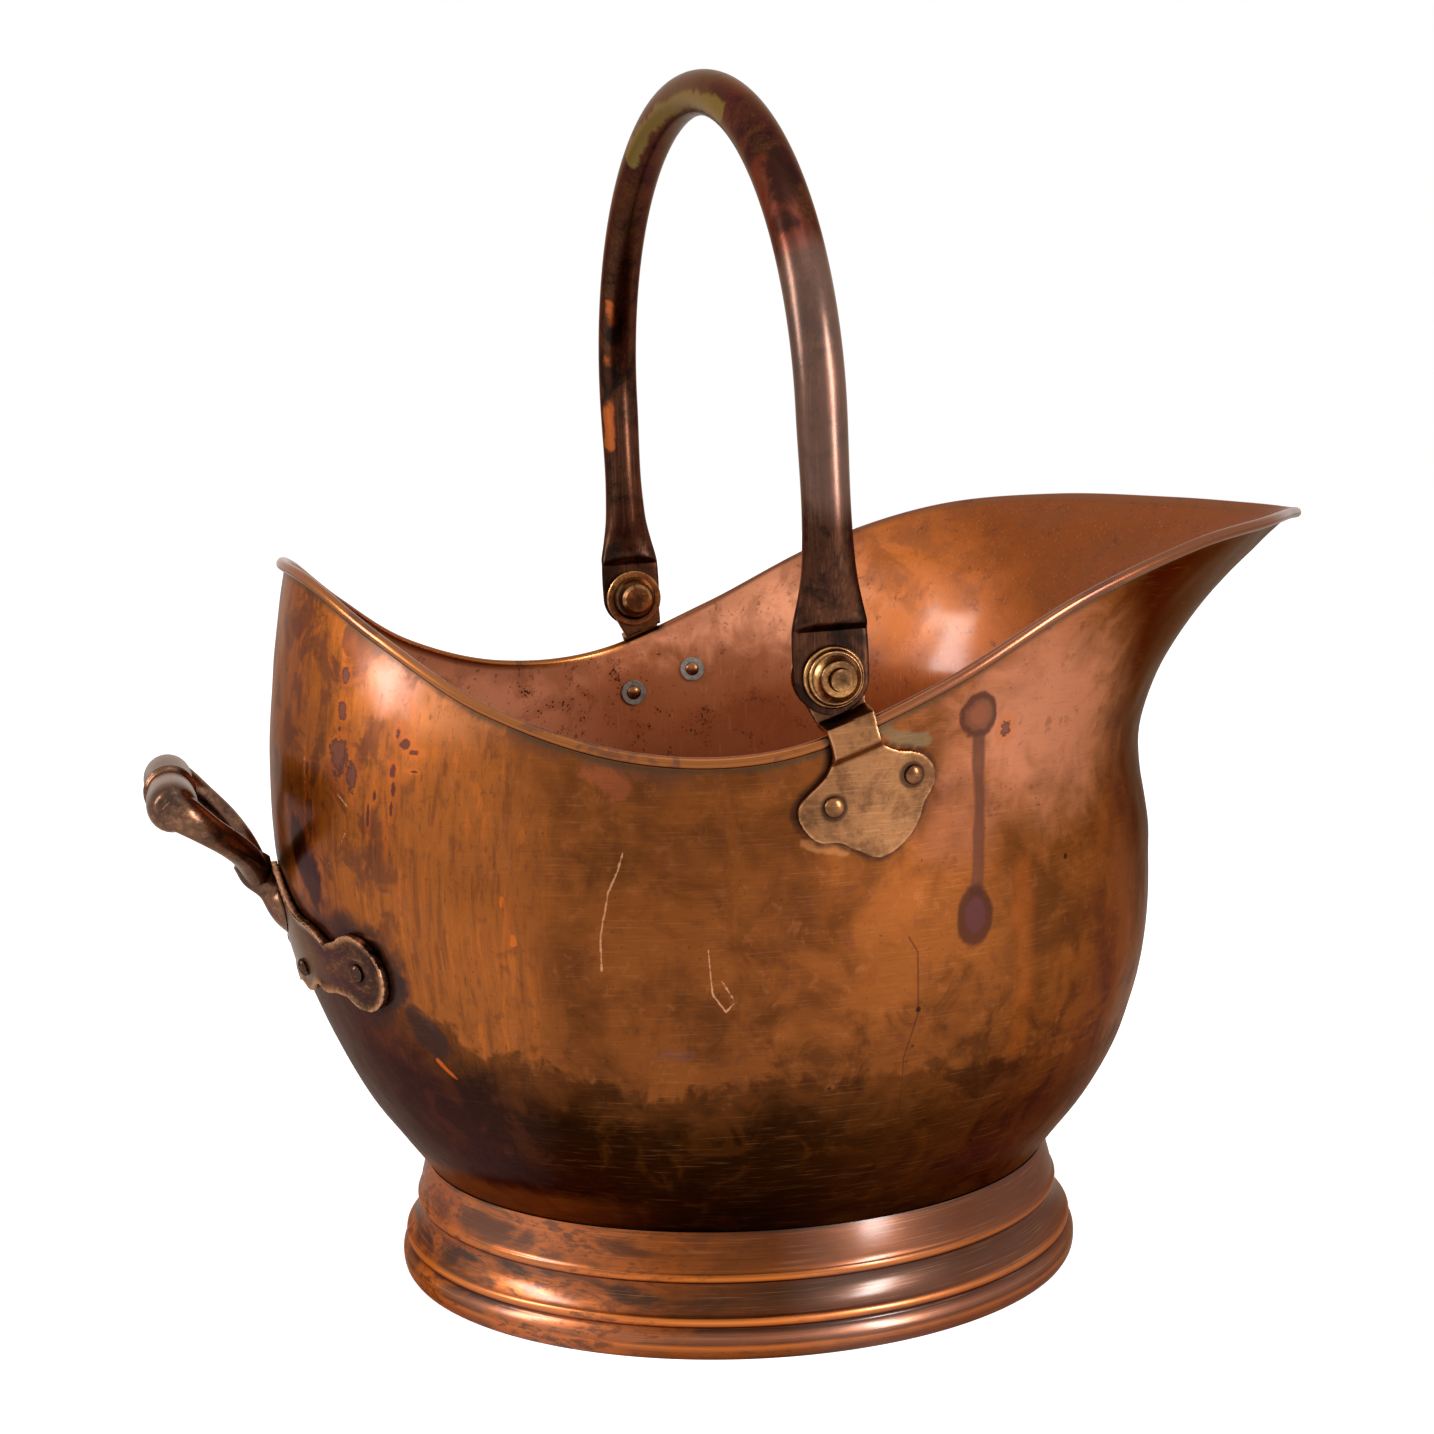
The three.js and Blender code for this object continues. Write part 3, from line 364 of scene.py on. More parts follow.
def makeBowlCopper(marks):
    paint = Paint("bowl copper")
    x, y, z = [paint.axis(name) for name in "XYZ"]
    inside = paint.attribute("inside")
    toRim = paint.attribute("toRim")
    cloud = paint.noise(48, 4, 0.6, 0.5)
    patch = paint.noise(17, 4, 0.62, 0.6, 5)
    mottle = paint.noise(7, 4, 0.65, 0.3)
    speck = paint.noise(1.6, 3, 0.7)
    grit = paint.noise(1.1, 1, 0.5, shift=8)
    brushed = paint.noise((14, 14, 0.45), 2, 0.6)
    streak = paint.noise((4, 4, 40), 5, 0.66, 0.3)
    hair = paint.noise((0.9, 0.9, 13), 3, 0.65, 0.2, 3)
    wander = paint.noise(16, 3, 0.6, 0.6) - 0.5
    left = paint.step(x + wander * 10, -78, -102)
    farLeft = paint.step(x + wander * 20, -120, -140)
    near = paint.step(y, 20, -20)

    # Outside
    clouded = paint.step(cloud * 0.5 + patch * 0.5, 0.38, 0.6)
    colour = paint.mix(tone(94, 49, 17), tone(129, 70, 27), clouded)
    colour = paint.layers(
        colour,
        ((156, 85, 31), left * 0.8),
        ((104, 54, 24), left * paint.step(streak, 0.5, 0.64) * 0.6),
        ((196, 100, 34), left * paint.step(streak, 0.46, 0.34) * 0.4),
        ((88, 46, 28), left * paint.step(hair, 0.42, 0.3) * 0.35),
        ((84, 44, 32), farLeft * paint.step(patch, 0.48, 0.6) * 0.7),
    )
    # Painted highlights and reflections laid on the wall
    for tint, amount, place, sizes, stray, fade, full in marks["paintedHighlights"]:
        area = paint.distance(place, sizes) + wander * stray
        colour = paint.mix(colour, tone(*tint), paint.step(area, fade, full) * amount)
    colour = paint.layers(
        colour,
        ((168, 84, 26), paint.step(paint.along(marks["stripe"]) + wander * 5, 7, 1) * 0.35),
        ((92, 46, 28), paint.step(mottle, 0.56, 0.7) * 0.4),
        ((166, 96, 56), paint.step(mottle, 0.44, 0.32) * 0.22),
    )

    # Dark below an uneven line: dark patina together with painted shade, the dark reflection low down;
    # painted shadow also round the plate
    depth = paint.graph(x, marks["patinaAndShadeLine"]) - z + wander * 22 + (mottle - 0.5) * 14
    dark = paint.step(depth, -2, 3) * 0.56 + paint.step(depth, 0, 22) * 0.4
    dark = dark * paint.graph(x, ((-160, 1), (-20, 1), (30, 0.8), (110, 0.58)))
    low = paint.step(z, 150, 90)
    # Painted shade towards the spout's front, where the wall leans out
    under = paint.step(x + z * 0.2 + wander * 16, 138, 170)
    plateShade = paint.distance((-148, -45, 128), (26, 52, 24)) + wander * 1.3
    neckRust = paint.step(z + wander * 8, 57, 49) * paint.step(x, -40, -95)
    colour = paint.layers(
        colour,
        ((42, 18, 5), under * 0.9),
        ((26, 11, 3), dark),
        ((92, 48, 18), low * paint.step(patch, 0.54, 0.66) * 0.3),
        ((24, 11, 4), low * paint.step(patch, 0.46, 0.36) * 0.3),
        ((140, 72, 30), neckRust * (0.3 + mottle * 0.6)),
        ((44, 26, 24), paint.step(plateShade, 1.25, 0.6) * 0.85),
    )
    colour = paint.blots(colour, wander, marks["blots"])

    # Short dashes and specks, polish lines
    dashes = paint.step(paint.noise((1.7, 1.7, 12), 4, 0.7, shift=4), 0.58, 0.72) * left
    colour = paint.layers(
        colour,
        ((72, 36, 22), dashes * 0.55),
        ((62, 30, 14), paint.step(brushed, 0.52, 0.75) * (0.16 - left * 0.1)),
        ((214, 140, 88), paint.step(brushed, 0.44, 0.25) * (0.1 - left * 0.06)),
        ((58, 30, 18), paint.step(grit, 0.7, 0.78) * 0.5),
    )
    ragged = wander * 1.3 + (mottle - 0.5) * 2 + (speck - 0.5) * 1.5
    spot, pit, pinhole = [
        paint.pick("MINIMUM", [paint.distance(*mark) for mark in marks[kind]])
        for kind in ("spots", "pits", "pinholes")
    ]
    spot = spot + ragged
    pit = pit + ragged * 0.8
    colour = paint.layers(
        colour,
        ((200, 98, 36), paint.step(spot, 2.4, 0.9) * 0.35),
        ((94, 58, 52), paint.step(spot, 1.1, 0.8) * 0.8),
        ((60, 34, 30), paint.step(spot, 1.1, 0.95) * paint.step(spot, 0.5, 0.85) * 0.5),
        ((206, 98, 34), paint.step(pit, 3, 1) * 0.3),
        ((70, 36, 34), paint.step(pit, 1.2, 0.8) * 0.85),
    )
    bulb = paint.distance((48, -146, 149), (6.5, 8, 9.5)) + wander * 0.5
    ringStain = paint.distance((49, -150, 214), (7, 9, 7.5)) + wander * 0.5 + (mottle - 0.5) * 0.5
    drip = paint.along(marks["drip"], 0.2) + wander * 2
    colour = paint.layers(
        colour,
        ((100, 57, 41), paint.step(ringStain, 1.15, 0.9) * 0.8),
        ((64, 34, 26), paint.step(ringStain, 1.1, 0.95) * paint.step(ringStain, 0.6, 0.85) * 0.65),
        ((134, 74, 50), paint.step(ringStain, 0.55, 0.35) * 0.6),
        ((84, 48, 36), paint.step(drip, 3.2, 1.9) * 0.8),
        ((62, 32, 23), paint.step(bulb, 1.2, 0.95) * 0.85),
        ((84, 46, 46), paint.step(bulb, 0.75, 0.5) * 0.8),
    )

    # Rim bead, grime under it, dark round the ears and the plate from grime with painted shade at their
    # edges, scratches, seam and pin-holes
    bead = paint.step(toRim, 2.5, 1.7) * (1 - inside)
    toEar = paint.attribute("toEar")
    toPlate = paint.attribute("toPlate")
    smear = paint.step(toRim + wander * 16, 11, 4) * paint.step(patch, 0.48, 0.58)
    colour = paint.layers(
        colour,
        ((84, 50, 36), smear * paint.step(x, 30, -10) * 0.55),
        ((66, 58, 42), paint.step(toRim + wander * 3, 5, 2.6) * (0.3 + mottle * 0.6)),
        ((150, 84, 27), bead * 0.9),
        ((118, 66, 42), bead * paint.step(x, -10, 40) * 0.85),
        ((88, 48, 34), bead * paint.step(patch, 0.56, 0.64) * 0.6),
        ((40, 26, 20), paint.step(toEar + (mottle - 0.5) * 3, 2.6, 0.4) * 0.75),
        ((44, 32, 32), paint.step(toPlate + wander * 16, 9, 3) * 0.7),
        ((20, 14, 12), paint.step(toPlate + (mottle - 0.5) * 3, 3, 0.6) * 0.85),
    )
    scratch = paint.pick("MINIMUM", [paint.along(path, 0.2) for path in marks["scratches"]])
    scratch = scratch + (speck - 0.5) * 1.1
    colour = paint.layers(
        colour,
        ((232, 168, 124), paint.step(scratch, 0.38, 0.1) * near * 0.55),
        ((62, 30, 18), paint.step(paint.along(marks["seam"], 0.2), 0.45, 0.15) * 0.6),
        ((24, 18, 18), paint.step(pinhole, 1.2, 0.7) * 0.85),
    )

    # Inside: rosy towards the rear, rusty low down, orange at the spout
    inner = paint.mix(tone(232, 154, 114), tone(190, 100, 32), paint.step(x + wander * 50, 60, 110))
    lowInside = paint.step(z + wander * 40, 222, 196)
    rust = paint.step(grit * 0.4 + patch * 0.3 + mottle * 0.3, 0.56, 0.62) * paint.step(x, 60, 10)
    inner = paint.layers(
        inner,
        ((116, 52, 6), paint.step(x + wander * 36, 104, 156) * 0.9),
        ((156, 88, 58), paint.step(patch, 0.48, 0.62) * paint.step(x, 90, 20) * 0.45),
        ((112, 56, 16), paint.step(patch, 0.46, 0.64) * paint.step(x, 20, 90) * 0.5),
        ((228, 158, 124), paint.step(cloud, 0.46, 0.36) * 0.3 * paint.step(x, 60, 0)),
        ((136, 66, 24), lowInside * paint.step(x, -70, 0) * 0.85),
        ((124, 66, 36), paint.step(toRim + wander * 30, 14, 2) * 0.4),
        ((88, 42, 30), paint.step(speck * 0.5 + mottle * 0.5, 0.55, 0.64) * 0.6),
        ((48, 22, 12), rust * lowInside),
        ((232, 166, 124), paint.step(hair, 0.58, 0.72) * 0.15),
    )
    colour = paint.mix(colour, inner, inside)

    outerPolish, innerPolish = [
        paint.step(paint.distance(place, sizes), fade, full) * amount
        for amount, place, sizes, fade, full in marks["polish"]
    ]
    glint = paint.step(paint.distance((-126, -88, 224), (20, 26, 24)), 1.2, 0.3)
    coat = 0.08 + left * 0.1 + bead * 0.35 + outerPolish + innerPolish * inside + glint * 0.25
    rough = 0.29 + cloud * 0.14 + dark * 0.1 + inside * 0.06 - bead * 0.1 + glint * 0.1
    dents = paint.noise(9, 2, 0.5, shift=7) * paint.step(z, 190, 120)
    normal = paint.bump(dents, 0.6, 0.5)
    normal = paint.bump(brushed, 0.2, 0.05, normal)
    normal = paint.bump(mottle, 0.25, 0.12, normal)
    return paint.finish({
        "Base Color": colour,
        "Metallic": 1.0 - inside * 0.5,
        "Specular Tint": (*edgeTint, 1),
        "Roughness": rough - (brushed - 0.5) * 0.12,
        "Coat Weight": coat - paint.maths("MAXIMUM", dark, under) * 0.08,
        "Coat Roughness": 0.17,
        "Normal": normal,
    })


# Foot copper: spun in bands, orange on the ridges and dark in the groove, with a painted highlight on
# the lowest bead and painted sheen towards the right
footPaint = {
    # Height and tone; the lighter band at 7.4 is a painted highlight
    "bands": (
        (0, (104, 52, 20)), (2.6, (132, 68, 26)), (4.2, (196, 108, 50)), (5.4, (104, 58, 34)),
        (7.4, (136, 84, 60)), (8.9, (92, 50, 30)), (9.9, (34, 18, 12)), (11, (150, 76, 32)),
        (12.4, (222, 124, 54)), (14, (98, 49, 20)), (17, (70, 39, 21)), (21.5, (62, 33, 14)),
        (24, (86, 44, 18)), (25.6, (206, 112, 40)), (27, (114, 58, 20)), (32, (94, 47, 16)),
        (39, (90, 45, 16)), (40.6, (56, 34, 22)),
    ),
    # Gloss along the length, where old lacquer is left
    "coat": (
        (-120, 0.1), (-104, 0.6), (-88, 1), (-72, 0.6), (-50, 0.15), (-14, 0.1), (2, 0.7), (16, 1),
        (32, 0.7), (54, 0.25), (80, 0.3), (110, 0.1),
    ),
}


def makeFootCopper(s):
    paint = Paint("foot copper")
    x, z = paint.axis("X"), paint.axis("Z")
    top = s["bands"][-1][0]
    stops = [(level / top, tone(*colour)) for level, colour in s["bands"]]
    cloud = paint.noise((34, 34, 12), 4, 0.6, 0.5)
    mottle = paint.noise((6, 6, 2), 4, 0.7, 0.4)
    brushed = paint.noise((30, 30, 0.35), 2, 0.6)
    height = (z + (brushed - 0.5) * 0.5) / top
    colour = paint.add("ShaderNodeValToRGB", {"stops": stops}, {0: height}, "Color")
    left = paint.step(x, -10, -100)
    colour = paint.layers(
        colour,
        ((204, 104, 30), left * paint.step(cloud, 0.36, 0.56) * 0.65),
        ((48, 27, 18), paint.step(mottle * 0.5 + cloud * 0.5, 0.5, 0.6) * (0.2 + left * 0.55)),
        # Pinkish grey towards the right: painted sheen
        ((108, 64, 48), paint.step(x, 0, 90) * 0.4),
        ((60, 32, 20), paint.step(brushed, 0.5, 0.72) * 0.25),
        ((226, 160, 118), paint.step(brushed, 0.44, 0.26) * 0.16),
    )
    rough = 0.28 + cloud * 0.12 + (mottle - 0.5) * 0.12
    normal = paint.bump(brushed, 0.22, 0.05)
    normal = paint.bump(mottle, 0.2, 0.1, normal)
    return paint.finish({
        "Base Color": colour,
        "Metallic": 1.0,
        "Specular Tint": (*edgeTint, 1),
        "Roughness": rough,
        "Coat Weight": paint.graph(x, s["coat"]),
        "Coat Roughness": 0.2,
        "Normal": normal,
    })


# One cast or wrought metal: its tones from dark to light, grain, wear, roughness and gloss
def makeWrought(name, dark, middle, light, grain, lightening, rough, coat, marks=(), shine=None):
    paint = Paint(name)
    cloud = paint.noise(14, 4, 0.65, 0.5)
    mottle = paint.noise(2.2, 3, 0.7)
    brushed = paint.noise(grain, 2, 0.6)
    edge = paint.attribute("edge") * paint.step(cloud * 0.6 + mottle * 0.4, 0.36, 0.56)
    clouded = paint.step(cloud * 0.7 + mottle * 0.3, 0.38, 0.56)
    colour = paint.layers(
        paint.mix(tone(*dark), tone(*middle), clouded),
        (light, paint.step(brushed * 0.7 + cloud * 0.3, 0.5, 0.66) * lightening),
        (dark, paint.step(mottle, 0.56, 0.68) * 0.5),
    )
    colour = paint.blots(colour, cloud - 0.5, marks)
    # Lighter edges: painted highlight with rubbed wear. Darkest where a piece holds grime, and on the
    # ears above their step, painted shadow of the bail's strap
    colour = paint.layers(
        colour,
        ([min(v * 1.15 + 12, 255) for v in light], edge * 0.75),
        ([v * 0.45 for v in dark], paint.attribute("grimeAndShade") * 0.85),
    )
    # Along the shine path: painted highlight and more gloss
    if shine:
        gleam = paint.step(paint.along(shine), 18, 5)
        colour = paint.mix(colour, tone(150, 108, 90), gleam * 0.26)
        coat = gleam * 0.4 + coat
    normal = paint.bump(brushed, 0.2, 0.06)
    normal = paint.bump(cloud, 0.3, 0.3, normal)
    return paint.finish({
        "Base Color": colour,
        "Metallic": 1.0,
        "Specular Tint": (*edgeTint, 1),
        "Roughness": rough + (cloud - 0.5) * 0.16,
        "Coat Weight": coat,
        "Coat Roughness": 0.3 if shine else 0.2,
        "Normal": normal,
    })


# Dark, middle and light tones, grain size, wear, roughness and gloss
metals = {
    "plate copper": ((40, 25, 19), (72, 45, 33), (178, 128, 96), (3, 3, 1), 0.25, 0.26, 0.2),
    "ear brass": ((100, 64, 38), (138, 92, 56), (168, 118, 80), (9, 9, 0.5), 0.4, 0.3, 0.15),
    "pivot brass": ((118, 78, 46), (180, 126, 72), (232, 180, 116), (1, 1, 1), 0.6, 0.24, 0.25),
    "bail bronze": ((32, 18, 11), (70, 39, 24), (120, 76, 54), (0.8, 0.8, 30), 0.3, 0.3, 0.1),
    "handle bronze": ((62, 40, 27), (106, 70, 48), (168, 122, 92), (2, 9, 2), 0.3, 0.3, 0.35),
    "grey iron": ((96, 92, 86), (140, 134, 126), (176, 170, 160), (1, 1, 1), 0.4, 0.45, 0),
}
# Blots on the bail: tone, amount, half width and paths
bailMarks = (
    ((134, 120, 78), 0.7, 4, [
        ((-10, 74, 406), (-11, 48, 413), (-10, 16, 418), (-11, -37, 418), (-11, -82, 408)),
    ]),
    ((184, 92, 42), 0.8, 4, [((-8, 155, 296), (-9, 151, 325), (-9, 140, 352))]),
    ((26, 19, 17), 0.9, 5, [((-9, 146, 340), (-2, 150, 339)), ((-9, 154, 316), (-6, 154, 324))]),
    ((112, 48, 34), 0.5, 7, [((-9, -125, 386), (-4, -150, 364)), ((0, -20, 428), (0, -80, 412))]),
    ((22, 15, 13), 0.7, 5, [((-2, -124, 392), (-6, -144, 368))]),
)
bailShine = ((0, -154, 352), (0, -164, 312), (0, -168, 292))  # painted highlight along the near leg, with more gloss

bowlCopper = makeBowlCopper(bowlMarks)
footCopper = makeFootCopper(footPaint)
bailBronze = makeWrought("bail bronze", *metals["bail bronze"], bailMarks, bailShine)
plateCopper, earBrass, pivotBrass, handleBronze, greyIron = [
    makeWrought(name, *metals[name])
    for name in ("plate copper", "ear brass", "pivot brass", "handle bronze", "grey iron")
]
print("finishes made")


# Geometry trees, built like the paints and run on a mesh of points
class Growth(Tree):
    def __init__(self, name, inputs):
        self.group = bpy.data.node_groups.new(name, "GeometryNodeTree")
        self.nodes = self.group.nodes
        self.links = self.group.links
        self.group.interface.new_socket("Geometry", in_out="OUTPUT", socket_type="NodeSocketGeometry")
        kinds = {"Geometry": "Geometry", **inputs, "Finish": "Material"}
        for label, kind in kinds.items():
            self.group.interface.new_socket(label, in_out="INPUT", socket_type="NodeSocket" + kind)
        self.given = self.nodes.new("NodeGroupInput")

    def input(self, label):
        return Wire(self, self.given.outputs[label])

    def finish(self, geometry):
        real = self.add("GeometryNodeRealizeInstances", {}, {0: geometry})
        smoothed = self.add("GeometryNodeSetShadeSmooth", {}, {0: real})
        links = {0: smoothed, "Material": self.input("Finish")}
        painted = self.add("GeometryNodeSetMaterial", {}, links)
        output = self.nodes.new("NodeGroupOutput")
        self.links.new(painted.socket, output.inputs[0])

    # Runs the tree on a mesh and gives the result as a plain mesh object
    def run(self, name, base, values):
        piece = bpy.data.objects.new(name, base)
        bpy.context.collection.objects.link(piece)
        modifier = piece.modifiers.new("growth", "NODES")
        modifier.node_group = self.group
        for item in self.group.interface.items_tree:
            if item.in_out == "INPUT" and item.name in values:
                modifier[item.identifier] = values[item.name]
        grown = piece.evaluated_get(bpy.context.evaluated_depsgraph_get())
        mesh = bpy.data.meshes.new_from_object(grown)
        piece.modifiers.clear()
        piece.data = mesh
        return piece


# Rings through stations; a station is a point with its half sizes as two vectors and a squareness
def loftTree():
    inputs = {"Sides": "Int", "Closed": "Int", "Unevenness": "Float", "Uneven Size": "Float"}
    tree = Growth("loft", inputs)
    stations = tree.input("Geometry")
    size = {"component": "MESH"}
    count = tree.add("GeometryNodeAttributeDomainSize", size, {0: stations}, "Point Count")
    perRing = tree.input("Sides") + 1
    links = {"Vertices X": count + tree.input("Closed"), "Vertices Y": perRing}
    grid = tree.add("GeometryNodeMeshGrid", {}, links, "Mesh")
    index = tree.add("GeometryNodeInputIndex", {}, {}, "Index")
    station = tree.maths("MODULO", tree.maths("FLOOR", (index + 0.5) / perRing), count)
    angle = tree.maths("MODULO", index, perRing) / tree.input("Sides") * turn

    def sampled(kind, value):
        links = {"Geometry": stations, "Value": value, "Index": station}
        return tree.add("GeometryNodeSampleIndex", {"data_type": kind}, links, "Value")

    def named(kind, label):
        settings = {"data_type": kind}
        value = tree.add("GeometryNodeInputNamedAttribute", settings, {"Name": label}, "Attribute")
        return sampled(kind, value)

    centre = sampled("FLOAT_VECTOR", tree.add("GeometryNodeInputPosition", {}, {}, "Position"))
    power = 2 / named("FLOAT", "square")
    reach = None
    for wave, label in (("COSINE", "across"), ("SINE", "deep")):
        share = tree.maths(wave, angle)
        bent = tree.maths("SIGN", share) * tree.maths("ABSOLUTE", share) ** power
        side = tree.vectors("SCALE", named("FLOAT_VECTOR", label), bent)
        reach = side if reach is None else tree.vectors("ADD", reach, side)
    place = tree.vectors("ADD", centre, reach)
    links = {"Vector": place, "Scale": 1 / tree.input("Uneven Size"), "Detail": 1.0}
    uneven = tree.add("ShaderNodeTexNoise", {}, links, "Fac") - 0.5
    away = tree.vectors("NORMALIZE", reach, (0, 0, 0))
    moved = tree.vectors("ADD", place, tree.vectors("SCALE", away, uneven * tree.input("Unevenness")))
    shaped = tree.add("GeometryNodeSetPosition", {}, {"Geometry": grid, "Position": moved})
    links = {"Geometry": shaped, "Distance": 0.002 * mm}
    tree.finish(tree.add("GeometryNodeMergeByDistance", {}, links))
    return tree


# The same small piece at every point of a mesh, turned to its "out", each slightly different
def scatterTree():
    tree = Growth("scatter", {"Shape": "Object", "Variation": "Float", "Seed": "Int"})
    shape = tree.add("GeometryNodeObjectInfo", {}, {"Object": tree.input("Shape")}, "Geometry")
    settings = {"data_type": "FLOAT_VECTOR"}
    out = tree.add("GeometryNodeInputNamedAttribute", settings, {"Name": "out"}, "Attribute")
    facing = tree.add("FunctionNodeAlignRotationToVector", {"axis": "Z"}, {"Vector": out}, "Rotation")
    size = tree.add(
        "FunctionNodeRandomValue",
        {"data_type": "FLOAT"},
        {2: 1 - tree.input("Variation"), 3: 1 + tree.input("Variation"), "Seed": tree.input("Seed")},
        1,
    )
    links = {"Points": tree.input("Geometry"), "Instance": shape, "Rotation": facing, "Scale": size}
    tree.finish(tree.add("GeometryNodeInstanceOnPoints", {}, links, "Instances"))
    return tree


lofts = loftTree()
scatter = scatterTree()


# Making meshes
sharpAngle = 35
halvings = 24  # steps of every search between two bounds


def unit(vectors):
    return vectors / np.linalg.norm(vectors, axis=-1, keepdims=True)


def smooth(share):
    held = np.clip(share, 0, 1)
    return held * held * (3 - 2 * held)


def ringFaces(count, sides, closedRun):
    i = np.arange(count if closedRun else count - 1)[:, None]
    j = np.arange(sides)[None, :]
    after = (i + 1) % count
    beside = (j + 1) % sides
    corners = (i * sides + j, i * sides + beside, after * sides + beside, after * sides + j)
    faces = np.stack(corners, axis=-1).reshape(-1, 4).tolist()
    if not closedRun:
        faces.append(list(range(sides)))
        faces.append([(count - 1) * sides + k for k in range(sides)])
    return faces


def plainMesh(name, points, faces=()):
    mesh = bpy.data.meshes.new(name)
    mesh.from_pydata((np.asarray(points) * mm + (footX, 0, 0)).tolist(), [], faces)
    return mesh


# Doubles merged, faces outwards, shaded smooth but for edges past an angle
def settle(piece):
    work = bmesh.new()
    work.from_mesh(piece.data)
    bmesh.ops.remove_doubles(work, verts=work.verts, dist=0.001 * mm)
    bmesh.ops.recalc_face_normals(work, faces=work.faces)
    work.to_mesh(piece.data)
    work.free()
    piece.data.shade_smooth()
    piece.data.set_sharp_from_angle(angle=math.radians(sharpAngle))
    return piece


def shell(name, points, faces):
    piece = bpy.data.objects.new(name, plainMesh(name, points, faces))
    bpy.context.collection.objects.link(piece)
    return settle(piece)


def skin(name, rings, closedRun=True):
    rings = np.asarray(rings, float)
    return shell(name, rings.reshape(-1, 3), ringFaces(*rings.shape[:2], closedRun))


# One number or one vector for every point of a mesh
def addLayer(mesh, name, values):
    values = np.asarray(values)
    kind, field = ("FLOAT", "value") if values.ndim == 1 else ("FLOAT_VECTOR", "vector")
    layer = mesh.attributes.new(name, kind, "POINT")
    layer.data.foreach_set(field, np.ravel(values))


# Stations are rows of centre, half size across, half size deep and squareness
def loft(name, rows, sides, finish, closedRun=False, uneven=(0, 20)):
    centres, across, deep, square = [np.array(part, float) for part in zip(*rows)]
    base = plainMesh(name, centres)
    addLayer(base, "across", across * mm)
    addLayer(base, "deep", deep * mm)
    addLayer(base, "square", square)
    depth, size = uneven
    values = {"Sides": sides, "Closed": int(closedRun), "Finish": finish}
    values.update({"Unevenness": depth * mm, "Uneven Size": size * mm})
    return settle(lofts.run(name, base, values))


# Stations with a point at either end, which closes the piece
def pointed(rows):
    first, last = [(rows[k][0], np.zeros(3), np.zeros(3), 2) for k in (0, -1)]
    return [first, *rows, last]


# Stations of a turned piece from its half section of radius and height
def turnedRows(section, at=(0, 0, 0), out=(0, 0, 1)):
    spin = np.array(Vector((0, 0, 1)).rotation_difference(Vector(out)).to_matrix())
    at = np.array(at, float)
    return [(at + spin @ (0, 0, h), spin @ (r, 0, 0), spin @ (0, r, 0), 2) for r, h in section]


# Corners of an outline cut back again and again, which rounds them
def rounded(points, times=2):
    points = np.asarray(points, float)
    for _ in range(times):
        before, after = points[:-1], points[1:]
        share = (after - before) * 0.25
        cut = np.stack([before + share, after - share], axis=1).reshape(-1, points.shape[1])
        points = np.vstack([points[:1], cut[1:-1], points[-1:]])
    return points


def placesOf(piece):
    places = np.empty(len(piece.data.vertices) * 3)
    piece.data.vertices.foreach_get("co", places)
    return (places.reshape(-1, 3) - (footX, 0, 0)) / mm


def pathDistance(points, path):
    best = np.full(len(points), 1e3)
    for start, end in zip(path[:-1], path[1:]):
        run = end - start
        share = np.clip(((points - start) @ run) / (run @ run), 0, 1)
        best = np.minimum(best, np.linalg.norm(points - start - share[:, None] * run, axis=1))
    return best


# Several closed pieces made into one skin of small even faces, given as points and faces
def fused(pieces, voxel, smoothing):
    points = []
    faces = []
    for piece in pieces:
        start = sum(len(p) for p in points)
        points.append(placesOf(piece))
        faces += [[start + v for v in face.vertices] for face in piece.data.polygons]
        bpy.data.objects.remove(piece)
    joined = bpy.data.objects.new("joined", plainMesh("joined", np.vstack(points), faces))
    bpy.context.collection.objects.link(joined)
    grain = joined.modifiers.new("grain", "REMESH")
    grain.mode = "VOXEL"
    grain.voxel_size = voxel * mm
    ease = joined.modifiers.new("ease", "SMOOTH")
    ease.iterations = smoothing
    grown = joined.evaluated_get(bpy.context.evaluated_depsgraph_get())
    mesh = bpy.data.meshes.new_from_object(grown)
    joined.modifiers.clear()
    joined.data = mesh
    result = placesOf(joined), [list(face.vertices) for face in mesh.polygons]
    bpy.data.objects.remove(joined)
    return result


def dress(piece, finish, body, slot, *nodes):
    piece.data.materials.clear()
    piece.data.materials.append(finish)
    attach(piece, body)
    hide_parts(*nodes)
    print(piece.name, len(piece.data.polygons), "faces")
    return piece


# Smooth value through knots for many shares at once, slopes taken from the neighbours
def through(knots, values, at):
    knots = np.asarray(knots, float)
    values = np.asarray(values, float)
    steps = np.diff(knots)
    rises = np.diff(values, axis=0) / steps[:, None]
    slopes = np.empty_like(values)
    slopes[0] = rises[0]
    slopes[-1] = rises[-1]
    weights = (steps[:-1] + steps[1:])[:, None]
    slopes[1:-1] = (rises[:-1] * steps[1:, None] + rises[1:] * steps[:-1, None]) / weights
    i = np.clip(np.searchsorted(knots, at) - 1, 0, len(knots) - 2)
    column = np.arange(values.shape[1])
    u = (at - knots[i]) / steps[i]
    low, high = values[i, column], values[i + 1, column]
    leave, arrive = steps[i] * slopes[i, column], steps[i] * slopes[i + 1, column]
    rise = (2 * u**3 - 3 * u**2 + 1) * low + (3 * u**2 - 2 * u**3) * high
    return rise + (u**3 - 2 * u**2 + u) * leave + (u**3 - u**2) * arrive


# The same for rows of several values, at a list of shares
def track(knots, rows, at):
    rows = np.asarray(rows, float)
    at = np.asarray(at, float)
    columns = [through(knots, np.repeat(column[:, None], len(at), axis=1), at) for column in rows.T]
    return np.stack(columns, axis=-1)


